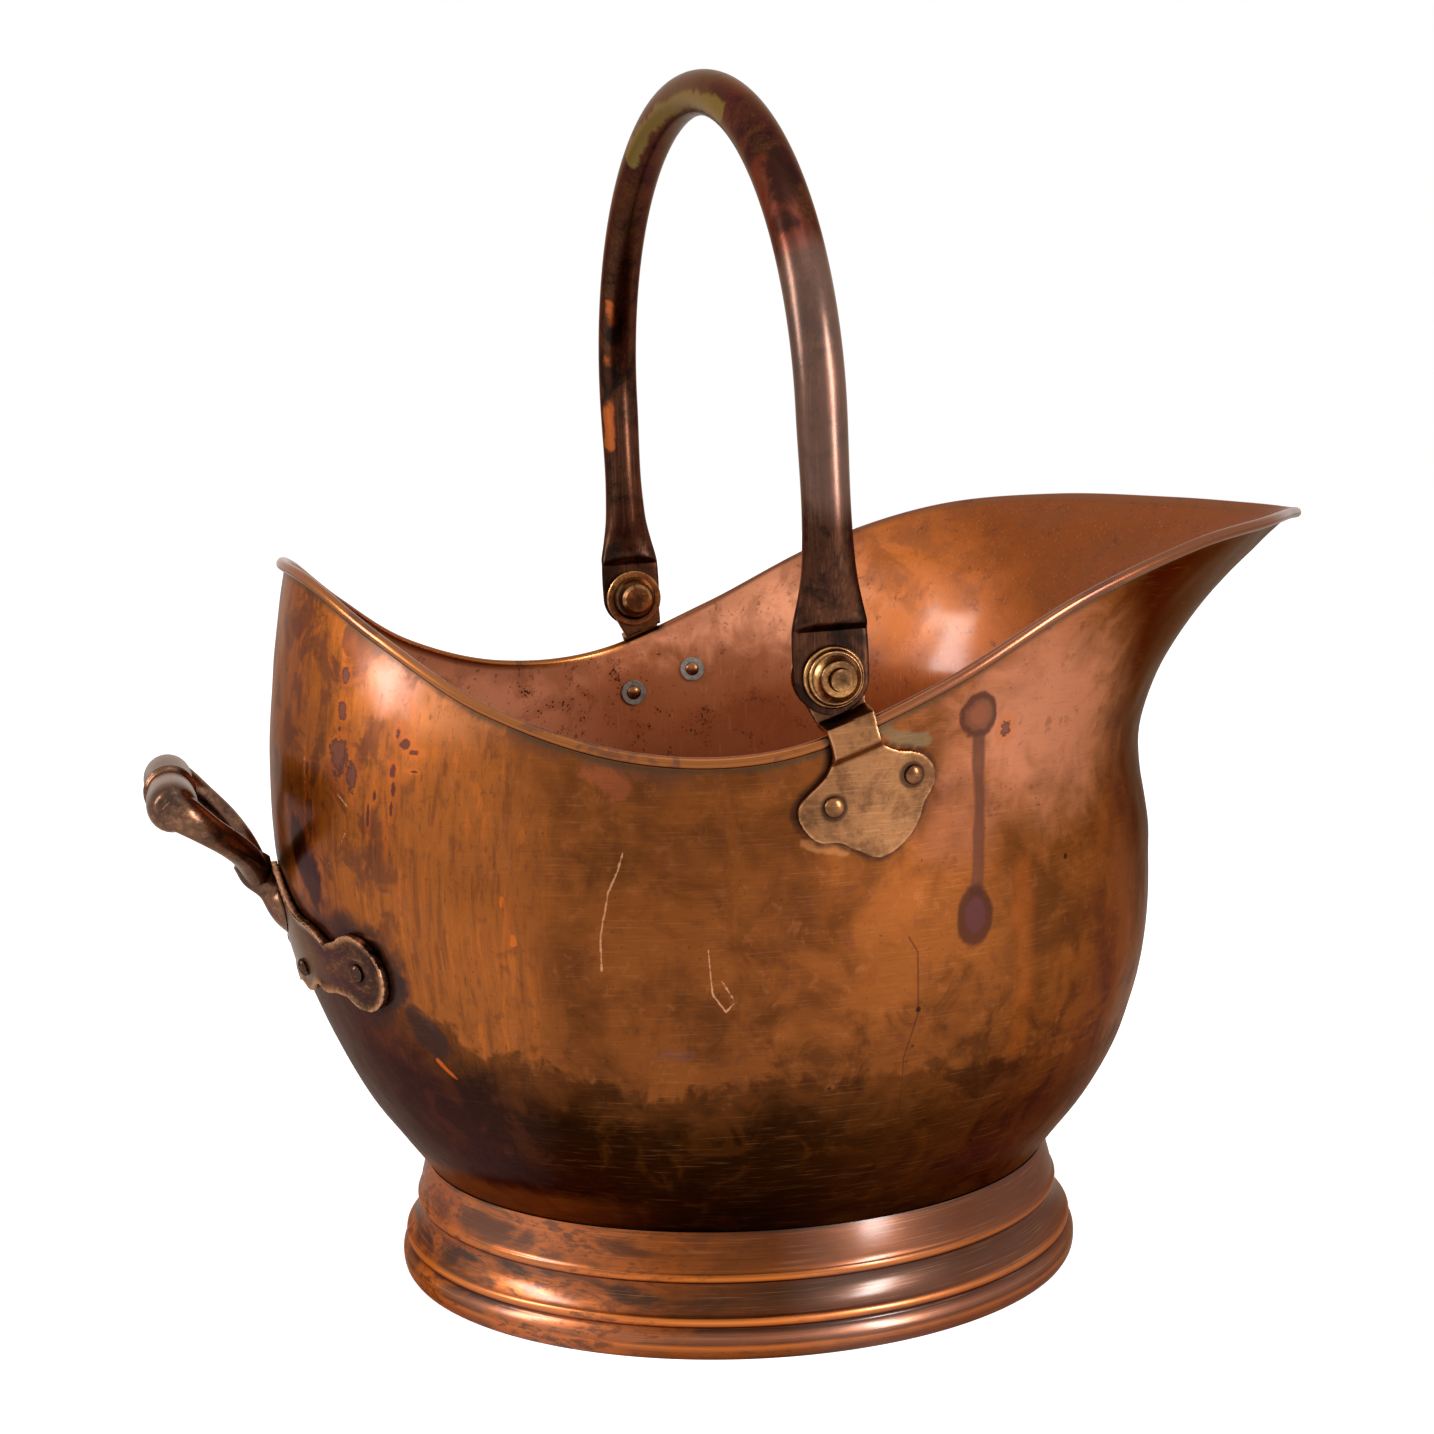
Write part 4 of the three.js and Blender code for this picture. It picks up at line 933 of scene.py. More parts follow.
# Ears
ear = {
    "lean": 18,
    "thickness": 2.6,
    "ledge": 1.8,
    "stepDrop": 1.4,
    "return": 5,
    "voxel": 0.42,
    "smoothing": 5,
    "edge": 1.1,
    "rivetHalf": 13.6,
    "rivetGrime": 4.9,
    "shadeDrop": 15,
    "shade": 0.5,
    "rivetDrop": 38.4,
    "eyeRadius": 10.2,
    "eyeSteps": 24,
}
# Outline seen from the near side, clockwise from the eye's right: across and down from the pivot
earOutline = (
    (10.2, 0), (9.6, 6), (8.1, 11.5), (7.7, 13.6), (7.1, 17.6), (6.6, 22.8), (8, 26), (9.8, 27.7),
    (12.4, 29.8), (16.7, 31.5), (20, 34.5), (21.7, 38.4), (21.4, 42.1), (19.2, 45.5), (15.8, 47.9),
    (14.6, 49.2), (13.7, 50.9), (10.9, 54.1), (7.8, 56.6), (3.9, 58.3), (-0.4, 59.5), (-4.2, 59.6),
    (-7.5, 57.9), (-10.2, 54.7), (-13.2, 52.4), (-14.5, 50.2), (-17.8, 48.6), (-20.8, 47.9),
    (-23.2, 45.5), (-25, 41.5), (-25.4, 37.1), (-23.5, 33.6), (-19.2, 31.5), (-14.7, 29.6),
    (-11.2, 27.3), (-9.3, 24.3), (-8.7, 20.3), (-8.4, 14.1), (-9.9, 7.1), (-10.2, 0),
)

# Rear plate
plate = {
    "thickness": 2,
    "lobeOut": 74,
    "lobeHeight": 131,
    "lobeRadius": 13,
    "top": 157,
    "bottom": 113.5,
    "lobeOpening": 130,
    "lobeSteps": 28,
    "rivetOut": 26,
    "rivetHeight": 124,
    "rivetGrime": 4.9,
    "voxel": 0.5,
    "smoothing": 4,
    "lip": 3,
    "lipRise": 0.9,
}
plateTopShares = ((0, 1), (0.18, 0.96), (0.34, 0.78), (0.5, 0.69), (0.7, 0.67), (0.84, 0.57))
plateBottomShares = ((0.86, 0.18), (0.7, 0.13), (0.6, 0.2), (0.42, 0.03), (0.2, 0.1), (0, 0))


# Half outline as distance from the middle and height, from the top round the lobe to the bottom
def plateOutline(s):
    radius = s["lobeRadius"]
    reach = s["lobeOut"] - radius / 2
    tall = s["top"] - s["bottom"]

    def placed(shares):
        return [(out * reach, s["bottom"] + up * tall) for out, up in shares]

    opening = math.radians(s["lobeOpening"])
    lobe = [
        (s["lobeOut"] + radius * math.cos(a), s["lobeHeight"] + radius * math.sin(a))
        for a in np.linspace(opening, -opening, s["lobeSteps"])
    ]
    return np.vstack([rounded(placed(plateTopShares), 2), lobe, rounded(placed(plateBottomShares), 2)])


# Bowl: the rules of its rim and wall
bowl = {
    "sheet": 0.8,
    "neckRadius": 115,
    "neckHeight": 41.1,
    "rearReach": 156,
    "spoutReach": 225.1,
    "halfWidth": 159.8,
    "dipHeight": 205.5,
    "spoutHeight": 266.3,
    "rollInner": 1.1,
    "rollOuter": 1.9,
    "rollFrom": 180,  # degrees round the bead
    "rollTo": -125,
    "rollSteps": 14,
    "tuckStep": 1.4,
    "tuckDepth": 8,
    "columns": 432,
    "rows": 72,
    "hammerDepth": 0.22,
    "hammerSize": 13,
    "swellDepth": 0.5,
    "swellSize": 60,
    "neckFade": 0.08,  # shares of the height over which the hammering starts and ends
    "rimFade": 0.06,
    "earSeat": (12, 38),  # middle of an ear's foot, forward of and below the pivot
    "plateSeat": (80, 135, 15),  # half width, middle height and half height
    "seatRadius": 26,
    "seatFade": 14,
}
# Rim stations from the rear peak to the spout tip: length, half width and height as shares
rimShares = (
    (-1, 0, 0.94), (-0.96, 0.25, 0.88), (-0.84, 0.49, 0.6), (-0.65, 0.71, 0.25),
    (-0.39, 0.89, 0.02), (-0.1, 0.985, 0.02), (0.15, 1, 0.31), (0.37, 0.945, 0.7),
    (0.575, 0.84, 0.935), (0.755, 0.635, 1), (0.89, 0.34, 0.985), (0.973, 0.135, 0.955),
    (1, 0, 0.94),
)
# Ovals of the wall: share of the height, then of the rear reach, spout reach and half width
ovalShares = (
    (0.12, 0.862, 0.605, 0.833), (0.3, 0.981, 0.673, 0.939), (0.5, 1.045, 0.689, 0.972),
    (0.7, 1.053, 0.68, 0.98), (0.87, 1.025, 0.787, 0.986),
)


def rimStations(s):
    half = []
    for length, width, height in rimShares:
        reach = s["rearReach"] if length < 0 else s["spoutReach"]
        rise = s["dipHeight"] + height * (s["spoutHeight"] - s["dipHeight"])
        half.append((length * reach, width * s["halfWidth"], rise))
    return np.array(half + [(x, -y, z) for x, y, z in half[-2:0:-1]])


stations = rimStations(bowl)


# Middle of the rim's bead: angle 0 at the rear peak, half a turn at the spout tip, +Y between
def rimPoint(angle):
    along = np.asarray(angle) / turn % 1 * len(stations)
    i = along.astype(int)
    t = (along - i)[..., None]
    before, start, end, after = [stations[(i + k) % len(stations)] for k in (-1, 0, 1, 2)]
    curve = 2 * start + (end - before) * t + (2 * before - 5 * start + 4 * end - after) * t**2
    return (curve + (3 * start - before - 3 * end + after) * t**3) / 2


wallKnots = [0] + [row[0] for row in ovalShares] + [1]


def wallThrough(angle, share, top):
    c, s = np.cos(angle), np.sin(angle)
    xs, ys = [-bowl["neckRadius"] * c], [bowl["neckRadius"] * s]
    for _, rear, front, side in ovalShares:
        back, fore = rear * bowl["rearReach"], front * bowl["spoutReach"]
        xs.append((fore - back) / 2 - (fore + back) / 2 * c)
        ys.append(side * bowl["halfWidth"] * s)
    x = through(wallKnots, xs + [top[..., 0]], share)
    y = through(wallKnots, ys + [top[..., 1]], share)
    z = bowl["neckHeight"] + share * (top[..., 2] - bowl["neckHeight"])
    return np.stack([x, y, z], axis=-1)


angleStep = turn / 192
shareStep = 0.02


# Directions at the rim: outwards from the wall, and up along it
def rimFrame(angle):
    bead = rimPoint(angle)
    along = unit(rimPoint(angle + angleStep) - rimPoint(angle - angleStep))
    up = unit(bead - wallThrough(angle, np.full(len(bead), 1 - 2 * shareStep), bead))
    out = unit(np.cross(up, along))
    return bead, out, np.cross(along, out)


def wall(angle, share):
    angle, share = np.broadcast_arrays(np.atleast_1d(angle).astype(float), np.asarray(share, float))
    bead, out, _ = rimFrame(angle)
    return wallThrough(angle, share, bead - out * bowl["rollInner"])


def wallNormal(angle, share):
    around = wall(angle + angleStep, share) - wall(angle - angleStep, share)
    rise = wall(angle, np.minimum(share + shareStep, 1)) - wall(angle, np.maximum(share - shareStep, 0))
    return unit(np.cross(rise, around))


def shareAt(angle, z):
    tops = rimPoint(angle)[..., 2] - bowl["neckHeight"]
    return np.clip((z - bowl["neckHeight"]) / tops, 0, 1)


# Where the wall has a wanted length or width at a height: the angle and share
def wallAt(z, wanted, axis, low, high):
    z, wanted = np.broadcast_arrays(np.atleast_1d(np.asarray(z, float)), np.asarray(wanted, float))
    low, high = np.full(z.shape, float(low)), np.full(z.shape, float(high))
    for _ in range(halvings):
        middle = (low + high) / 2
        under = wall(middle, shareAt(middle, z))[..., axis] < wanted
        low, high = np.where(under, middle, low), np.where(under, high, middle)
    return low, shareAt(low, z)


def sideOfWall(x, z):
    return wallAt(z, x, 0, 0, math.pi)


def rearOfWall(y, z):
    return wallAt(z, np.abs(y), 1, 0, turn / 4)


# The wall keeps to its rule at the neck, at the rim, and where the ears and the rear plate sit
def hammered(points, fade, s):
    rise = []
    for place in points:
        fine = noise.noise(Vector(place) / s["hammerSize"])
        broad = noise.noise(Vector(place) / s["swellSize"])
        rise.append(fine * s["hammerDepth"] + broad * s["swellDepth"])
    x, y, z = points.T
    forward, below = s["earSeat"]
    half, middle, tall = s["plateSeat"]
    earAway = np.hypot((x - pivotX) - forward, z - (pivotZ - below)) - s["seatRadius"]
    plateAway = np.hypot(np.maximum(np.abs(y) - half, 0), np.maximum(np.abs(z - middle) - tall, 0))
    plateAway = np.where(x < 0, plateAway, 100)
    return np.array(rise) * fade * smooth(earAway / s["seatFade"]) * smooth(plateAway / s["seatFade"])


# How far each point lies from the rim, an ear and the plate, and which face it is on
def markBowl(piece, angles, inside):
    places = placesOf(piece)
    lengths, _, heights = rimPoint(np.linspace(0, math.pi, 400)).T
    toRim = np.interp(places[:, 0], lengths, heights) - places[:, 2]
    lean = math.radians(ear["lean"])
    dx, dz = places[:, 0] - pivotX, pivotZ - places[:, 2]
    across = dx * math.cos(lean) - dz * math.sin(lean)
    drop = dx * math.sin(lean) + dz * math.cos(lean)
    edge = np.vstack([earOutline, earOutline[:1]])
    toEar = pathDistance(np.column_stack([across, drop]), edge)
    toPlate = pathDistance(np.abs(places[:, 1:]), plateOutline(plate))
    addLayer(piece.data, "inside", np.tile(inside, len(angles))[: len(places)])
    addLayer(piece.data, "toRim", toRim)
    addLayer(piece.data, "toEar", toEar)
    addLayer(piece.data, "toPlate", np.where(places[:, 0] < 0, toPlate, 99))


def makeBowl(s):
    angles = np.arange(s["columns"]) * turn / s["columns"]
    around = np.stack([-np.cos(angles), np.sin(angles)], axis=-1)
    tuck = s["neckRadius"] - s["tuckStep"]
    seat = s["neckHeight"] - seatGap
    bottom = seat - s["tuckDepth"]
    sheet = s["sheet"]

    def level(radius, height):
        return np.column_stack([around * radius, np.full(len(angles), height)])

    outer = [level(tuck, bottom), level(tuck, seat)]
    inner = [level(tuck - sheet, bottom), level(tuck - sheet, seat + sheet / 2)]
    for row in range(s["rows"] + 1):
        share = row / s["rows"]
        face = wall(angles, share)
        normal = wallNormal(angles, share)
        fade = smooth(share / s["neckFade"]) * smooth((1 - share) / s["rimFade"])
        face = face + normal * hammered(face, fade, s)[:, None]
        outer.append(face)
        if 0 < row < s["rows"]:
            inner.append(face - normal * sheet)
    bead, out, up = rimFrame(angles)

    def roll(radius, degrees):
        a = math.radians(degrees)
        return bead + out * radius * math.cos(a) + up * radius * math.sin(a)

    steps = np.linspace(s["rollFrom"], s["rollTo"], s["rollSteps"] + 1)
    under = [roll(s["rollInner"], a) for a in steps[1:]]
    over = [roll(s["rollOuter"], a) for a in steps[::-1]]
    section = outer + under + over + inner[::-1]
    piece = skin("bowl", np.array(section).transpose(1, 0, 2))
    inside = [0] * (len(section) - len(inner)) + [1] * len(inner)
    markBowl(piece, angles, inside)
    return dress(piece, bowlCopper, "scuttle", "bowl_copper", "body_shell")


makeBowl(bowl)


# Wire in the bead
wire = {"radius": 0.8, "steps": 240, "sides": 12}


def makeWire(s):
    angles = np.arange(s["steps"]) * turn / s["steps"]
    rows = [(b, o * s["radius"], u * s["radius"], 2) for b, o, u in zip(*rimFrame(angles))]
    piece = loft("rimWire", rows, s["sides"], greyIron, closedRun=True)
    return dress(piece, greyIron, "scuttle", "plain_iron", "rim_wire")


makeWire(wire)

# Foot: its section as shares of the spread beyond the neck and of the height
foot = {
    "height": 40.5,
    "spread": 10.6,
    "sheet": 1.1,
    "flange": 6,
    "sides": 256,
    "unevenness": (0.12, 25),  # depth and size
}
footShares = (
    (0, 1), (0.13, 0.88), (0.24, 0.76), (0.29, 0.685), (0.39, 0.66), (0.39, 0.61), (0.3, 0.585),
    (0.34, 0.5), (0.48, 0.42), (0.68, 0.355), (0.84, 0.325), (0.85, 0.28), (0.75, 0.245),
    (0.87, 0.215), (0.985, 0.16), (1, 0.1), (0.97, 0.03), (0.89, 0),
)
footInnerShares = (
    (0, 1), (0.29, 0.685), (0.3, 0.585), (0.48, 0.42), (0.84, 0.325), (0.75, 0.245), (0.985, 0.16),
    (0.97, 0.03),
)


def makeFoot(s):
    neck = bowl["neckRadius"]

    def section(shares, inset):
        rows = [(neck + out * s["spread"] - inset, high * s["height"]) for out, high in shares]
        return rounded([(r, max(z, inset)) for r, z in rows], 3)

    outer = section(footShares, 0)
    inner = section(footInnerShares, s["sheet"])[::-1]
    flange = outer[-1][0] - s["flange"]
    rows = turnedRows([*outer, (flange, 0), (flange, s["sheet"]), *inner])
    piece = loft("foot", rows, s["sides"], footCopper, closedRun=True, uneven=s["unevenness"])
    return dress(piece, footCopper, "scuttle", "foot_copper", "foot_ring")


makeFoot(foot)

# Pan that closes the bowl above the foot
pan = {
    "dish": 5,
    "dishSteps": 9,
    "flange": 6,
    "cornerShare": 0.96,
    "sides": 192,
    "unevenness": (0.3, 30),
}


def makePan(s):
    radius = bowl["neckRadius"] - bowl["tuckStep"] - bowl["sheet"] - seatGap
    top = bowl["neckHeight"] - seatGap
    sheet = bowl["sheet"]
    corner = radius * s["cornerShare"]
    shares = np.linspace(0, 1, s["dishSteps"])
    dish = [(corner * t, top + s["dish"] * math.cos(t * turn / 4)) for t in shares]
    under = [(r - sheet * r / corner, z - sheet) for r, z in dish[::-1]]
    edge = [(radius, top - sheet), (radius, top - s["flange"]), (radius - sheet, top - s["flange"])]
    section = [*dish, *edge, (radius - sheet, top - 2 * sheet), *under]
    piece = loft("pan", turnedRows(section), s["sides"], plateCopper, uneven=s["unevenness"])
    return dress(piece, plateCopper, "scuttle", "dark_copper", "base_pan")


makePan(pan)


# Length and height of a place on an ear, given across and down from the pivot
def earPoint(across, drop):
    lean = math.radians(ear["lean"])
    x = pivotX + across * math.cos(lean) + drop * math.sin(lean)
    return x, pivotZ + across * math.sin(lean) - drop * math.cos(lean)


# How far down each line of an ear crosses the rim
def beadDrop(across):
    angles = np.linspace(0, math.pi, 2000)
    rim = rimPoint(angles)
    low, high = np.zeros(len(across)), np.full(len(across), 40.0)
    for _ in range(halvings):
        middle = (low + high) / 2
        x, z = earPoint(across, middle)
        above = z > np.interp(x, rim[:, 0], rim[:, 2])
        low, high = np.where(above, middle, low), np.where(above, high, middle)
    return low


# Distance of an ear's two faces from the middle plane: eye plane, out over the bead, back to the wall
def earFaces(across, drop, s):
    clear = bowl["rollOuter"] + 2 * seatGap
    bead = beadDrop(across)
    crest = bowl["halfWidth"] + bowl["rollOuter"] + seatGap
    x, z = earPoint(across, drop)
    angle, share = sideOfWall(x, z)
    wallFace = wall(angle, share)[:, 1] + seatGap
    faces = []
    for ledge, out in ((0, 0), (s["ledge"], s["thickness"])):
        outward = smooth((drop - (bead - clear - s["stepDrop"] - ledge)) / s["stepDrop"])
        inward = smooth((drop - (bead + clear + ledge)) / (s["return"] - ledge + 1))
        face = eyeFace + (crest - eyeFace) * outward
        faces.append(face + (wallFace - crest) * inward + out)
    return faces


# Points of a flat piece cut to an outline, its faces, and how far each point lies from its edge
def flatPiece(outline, s):
    rings = [np.column_stack([outline, np.full(len(outline), h)]) for h in (0, s["thickness"])]
    raw = skin("flat", rings, closedRun=False)
    flat, faces = fused([raw], s["voxel"], s["smoothing"])
    return flat, faces, pathDistance(flat[:, :2], np.vstack([outline, outline[:1]]))


def makeEar(side, sign, s):
    angles = np.linspace(math.pi, 0, s["eyeSteps"])[1:-1]
    eye = [(s["eyeRadius"] * math.cos(a), -s["eyeRadius"] * math.sin(a)) for a in angles]
    outline = np.vstack([rounded(earOutline, 2), eye])
    flat, faces, toEdge = flatPiece(outline, s)
    across, drop, depth = flat.T
    inner, outer = earFaces(across, drop, s)
    y = inner + (outer - inner) * depth / s["thickness"]
    x, z = earPoint(across, drop)
    piece = shell(side + "Ear", np.column_stack([x, sign * y, z]), faces)
    # Outer face lighter near the edges: painted highlight with rubbed wear
    lightening = smooth((s["edge"] - toEdge) / s["edge"]) * (depth > s["thickness"] / 2)
    toRivet = np.hypot(np.abs(across) - s["rivetHalf"], drop - s["rivetDrop"])
    # Above the step the ear is darkened: painted shadow of the bail's strap
    shade = smooth((s["shadeDrop"] - drop) / s["stepDrop"]) * s["shade"]
    addLayer(piece.data, "edge", lightening)
    addLayer(piece.data, "grimeAndShade", np.maximum(smooth(s["rivetGrime"] - toRivet), shade))
    return dress(piece, earBrass, "scuttle", "fitting_brass", side + "_ear")


makeEar("near", -1, ear)
makeEar("far", 1, ear)


# A place on the rear of the wall at a width and a height, and its way out
def rearPlace(y, z):
    angle, share = rearOfWall(y, z)
    side = np.where(np.asarray(y) < 0, -1.0, 1.0)[..., None] * (0, 1, 0) + (1, 0, 1)
    return wall(angle, share) * side, wallNormal(angle, share) * side


def makePlate(s):
    right = plateOutline(s)
    outline = np.vstack([right, right[-2:0:-1] * (-1, 1)])
    flat, faces, toEdge = flatPiece(outline, s)
    place, out = rearPlace(flat[:, 0], flat[:, 1])
    lip = smooth((s["lip"] - toEdge) / s["lip"]) * s["lipRise"] * (flat[:, 2] > s["thickness"] / 2)
    piece = shell("rearPlate", place + out * (flat[:, 2] + seatGap + lip)[:, None], faces)
    # The lip is lighter: rubbed wear with painted highlight
    addLayer(piece.data, "edge", smooth((s["lip"] - toEdge) / s["lip"]))
    inner = smooth(1 - np.abs(toEdge - s["lip"] * 1.5) / s["lip"])
    toRivet = np.hypot(np.abs(flat[:, 0]) - s["lobeOut"], flat[:, 1] - s["lobeHeight"])
    addLayer(piece.data, "grimeAndShade", np.maximum(inner * 0.6, smooth(s["rivetGrime"] - toRivet)))
    return dress(piece, plateCopper, "scuttle", "dark_copper", "rear_plate")


makePlate(plate)

# Rear handle: grip, two arms to a collar, and a stem flared on the plate
handle = {
    "gripRadius": 8.8,
    "gripHalf": 44,
    "behind": 44,
    "gripHeight": 184.5,
    "bead": 9.6,
    "beadHalf": 1.5,
    "armRadius": 4.9,
    "elbowRadius": 7,
    "collarStand": 8,
    "collarHeight": 154,
    "collarRadius": 6.9,
    "stemRadius": 6,
    "trumpetHalf": (17, 12),
    "trumpetHeight": 143,
    "gripSides": 48,
    "armSides": 32,
    "armSteps": 40,
    "stemSides": 40,
    "stemSteps": 36,
    "voxel": 0.42,
    "smoothing": 4,
}
gripShares = ((0.12, 0.9), (0.3, 0.95), (0.55, 1), (0.8, 1), (0.93, 0.88), (1, 0.6), (1.03, 0))
# Arm from elbow to collar: share of the way, of the grip's half length, of the flare, and arch
armShares = (
    (-0.02, 0.88, 1, 0),
    (0.12, 0.92, 0.75, 0.03),
    (0.34, 0.86, 0.2, 0.06),
    (0.58, 0.66, 0, 0.08),
    (0.8, 0.36, 0, 0.06),
    (1, 0.1, 0, 0),
)


def makeHandle(s):
    gripX = -bowl["rearReach"] - s["behind"]
    collarX = rearPlace(np.zeros(1), s["collarHeight"])[0][0][0] - s["collarStand"]
    half = [(radius * s["gripRadius"], length * s["gripHalf"]) for length, radius in gripShares]
    bead = [(half[0][0], 0), (s["bead"], s["beadHalf"]), (half[0][0], 2 * s["beadHalf"])]
    upper = [*bead, *rounded(half, 2)]
    section = [(r, -h) for r, h in upper[:0:-1]] + upper
    rows = turnedRows(section, (gripX, 0, s["gripHeight"]), (0, 1, 0))
    grip = loft("grip", rows, s["gripSides"], handleBronze)
    down = np.array([collarX - gripX, 0, s["collarHeight"] - s["gripHeight"]])
    reach = np.linalg.norm(down)
    down = down / reach
    normal = np.array([-down[2], 0, down[0]])
    knots = np.linspace(0, 1, len(armShares))
    shares = track(knots, armShares, np.linspace(0, 1, s["armSteps"]))
    arms = []
    for sign in (-1, 1):
        places = np.array([
            np.array([gripX, sign * out * s["gripHalf"], s["gripHeight"]]) + down * along * reach
            + normal * arch * reach
            for along, out, _, arch in shares
        ])
        rows = []
        for place, way, (_, _, flare, _) in zip(places, unit(np.gradient(places, axis=0)), shares):
            radius = s["armRadius"] + (s["elbowRadius"] - s["armRadius"]) * flare
            rows.append((place, np.cross(way, normal) * radius, normal * radius, 2))
        arms.append(loft("arm", pointed(rows), s["armSides"], handleBronze))
    footPlace = rearPlace(np.zeros(1), s["trumpetHeight"])[0][0]
    collar = np.array([collarX, 0, s["collarHeight"]])
    path = [collar - down * s["collarRadius"], collar, (collar + footPlace) / 2, footPlace]
    at = np.linspace(0, 1, s["stemSteps"])
    thirds = (0, 1 / 3, 2 / 3, 1)
    places = track(thirds, path, at)
    radii = [[s[name]] for name in ("armRadius", "collarRadius", "stemRadius", "stemRadius")]
    base = track(thirds, radii, at)[:, 0]
    rows = []
    for place, way, radius, u in zip(places, unit(np.gradient(places, axis=0)), base, at):
        flare = max((u - 2 / 3) * 3, 0) ** 2
        way = unit(way * (1 - flare) + np.array([1, 0, 0]) * flare)
        wide, high = [radius + (half - s["stemRadius"]) * flare for half in s["trumpetHalf"]]
        rows.append((place, np.array([0, wide, 0]), np.array([way[2], 0, -way[0]]) * high, 2))
    stem = loft("stem", pointed(rows), s["stemSides"], handleBronze)
    points, faces = fused([grip, *arms, stem], s["voxel"], s["smoothing"])
    wallPlace, out = rearPlace(points[:, 1], points[:, 2])
    stand = ((points - wallPlace) * out).sum(axis=1)
    lift = np.maximum(plate["thickness"] + 2 * seatGap - stand, 0)
    piece = shell("rearHandle", points + out * lift[:, None], faces)
    return dress(piece, handleBronze, "scuttle", "handle_bronze", "rear_handle")


makeHandle(handle)

# Bail
bail = {
    "lean": -1,  # degrees, as it stands in the photograph
    "barRadius": 7.88,
    "straight": 81.9,
    "rise": 191.85,
    "halfSpan": strapOuter + 1.5,
    "strapThickness": 3.2,
    "strapHalf": 12,
    "strapSquare": 5,
    "strapSteps": 20,
    "archSteps": 120,
    "sides": 64,
}


def bailRows(s):
    half, thin, square = s["strapHalf"], s["strapThickness"] / 2, s["strapSquare"]
    strapMiddle = strapOuter - thin
    # Leg from the strap up: rise, half width, half depth, middle plane, squareness
    leg = (
        (0, half, thin, strapMiddle, square),
        (8, half + 0.1, thin, strapMiddle, square),
        (14.2, 11.9, thin, strapMiddle, square),
        (16.9, 11.7, 3.95, strapMiddle + 1.05, 3),
        (20, 11.1, 4.4, strapMiddle + 1.4, 2.4),
        (24, 10.2, 5.2, strapMiddle + 1.9, 2.1),
        (32, 8.7, 6.9, strapMiddle + 2.7, 2),
        (42, s["barRadius"], s["barRadius"], s["halfSpan"], 2),
        (s["straight"], s["barRadius"], s["barRadius"], s["halfSpan"], 2),
    )
    runs = ((0, 14, 8), (14.2, 17, 8), (17.5, s["straight"], 70))
    rises = np.concatenate([np.linspace(*run) for run in runs])
    table = track([row[0] for row in leg], [row[1:] for row in leg], rises)
    flat = rises <= 14
    table[flat, 1:3] = (thin, strapMiddle)
    rows = []
    for a in np.linspace(-turn / 4, 0, s["strapSteps"])[:-1]:
        place = (0, strapMiddle, half * math.sin(a))
        rows.append((place, half * math.cos(a), thin, (0, 1, 0), square))
    for rise, (wide, deep, y, square) in zip(rises[:-1], table[:-1]):
        rows.append(((0, y, rise), wide, deep, (0, 1, 0), square))
    tall = s["rise"] - s["straight"]
    for a in np.linspace(0, turn / 4, s["archSteps"]):
        out = unit(np.array([0, tall * math.cos(a), s["halfSpan"] * math.sin(a)]))
        place = (0, s["halfSpan"] * math.cos(a), s["straight"] + tall * math.sin(a))
        rows.append((place, s["barRadius"], s["barRadius"], out, 2))
    flip = np.array([1, -1, 1])
    rows += [
        (flip * place, wide, deep, flip * out, square)
        for place, wide, deep, out, square in rows[-2::-1]
    ]
    spin = np.array(Matrix.Rotation(math.radians(s["lean"]), 3, "Y"))
    pivot = np.array([pivotX, 0, pivotZ])
    return [
        (pivot + spin @ place, spin @ (wide, 0, 0), spin @ (np.array(out) * deep), square)
        for place, wide, deep, out, square in rows
    ]


def makeBail(s):
    piece = loft("bailBar", bailRows(s), s["sides"], bailBronze)
    return dress(piece, bailBronze, "bail", "bail_bronze", "bail")


makeBail(bail)

# Pivots: a pin with a button head inside the bowl, a washer with a hub, and a rose boss outside
pivots = {
    "pinRadius": 3.5,
    "pinEnd": 3,
    "washerRadius": 11.5,
    "washerThickness": 1.5,
    "hubRadius": 9,
    "hubHeight": 3.6,
    "buttonRadius": 6.3,
    "buttonHeight": 4.2,
    "roseRadius": 9.9,
    "roseHeight": 8.6,
    "grooves": (0, 5.8, 7.6, 8.8, 10),  # radii that hold grime
    "grooveHalf": 0.55,
    "pinChamfer": 0.5,
    "washerChamfer": 0.4,
    "hubTaper": 0.84,
    "buttonTaper": 0.8,
    "sides": 96,
}
roseShares = (
    (1, 0), (1, 0.17), (0.93, 0.26), (0.89, 0.24), (0.87, 0.42), (0.8, 0.5), (0.76, 0.47),
    (0.62, 0.74), (0.6, 0.92), (0.53, 1),
)


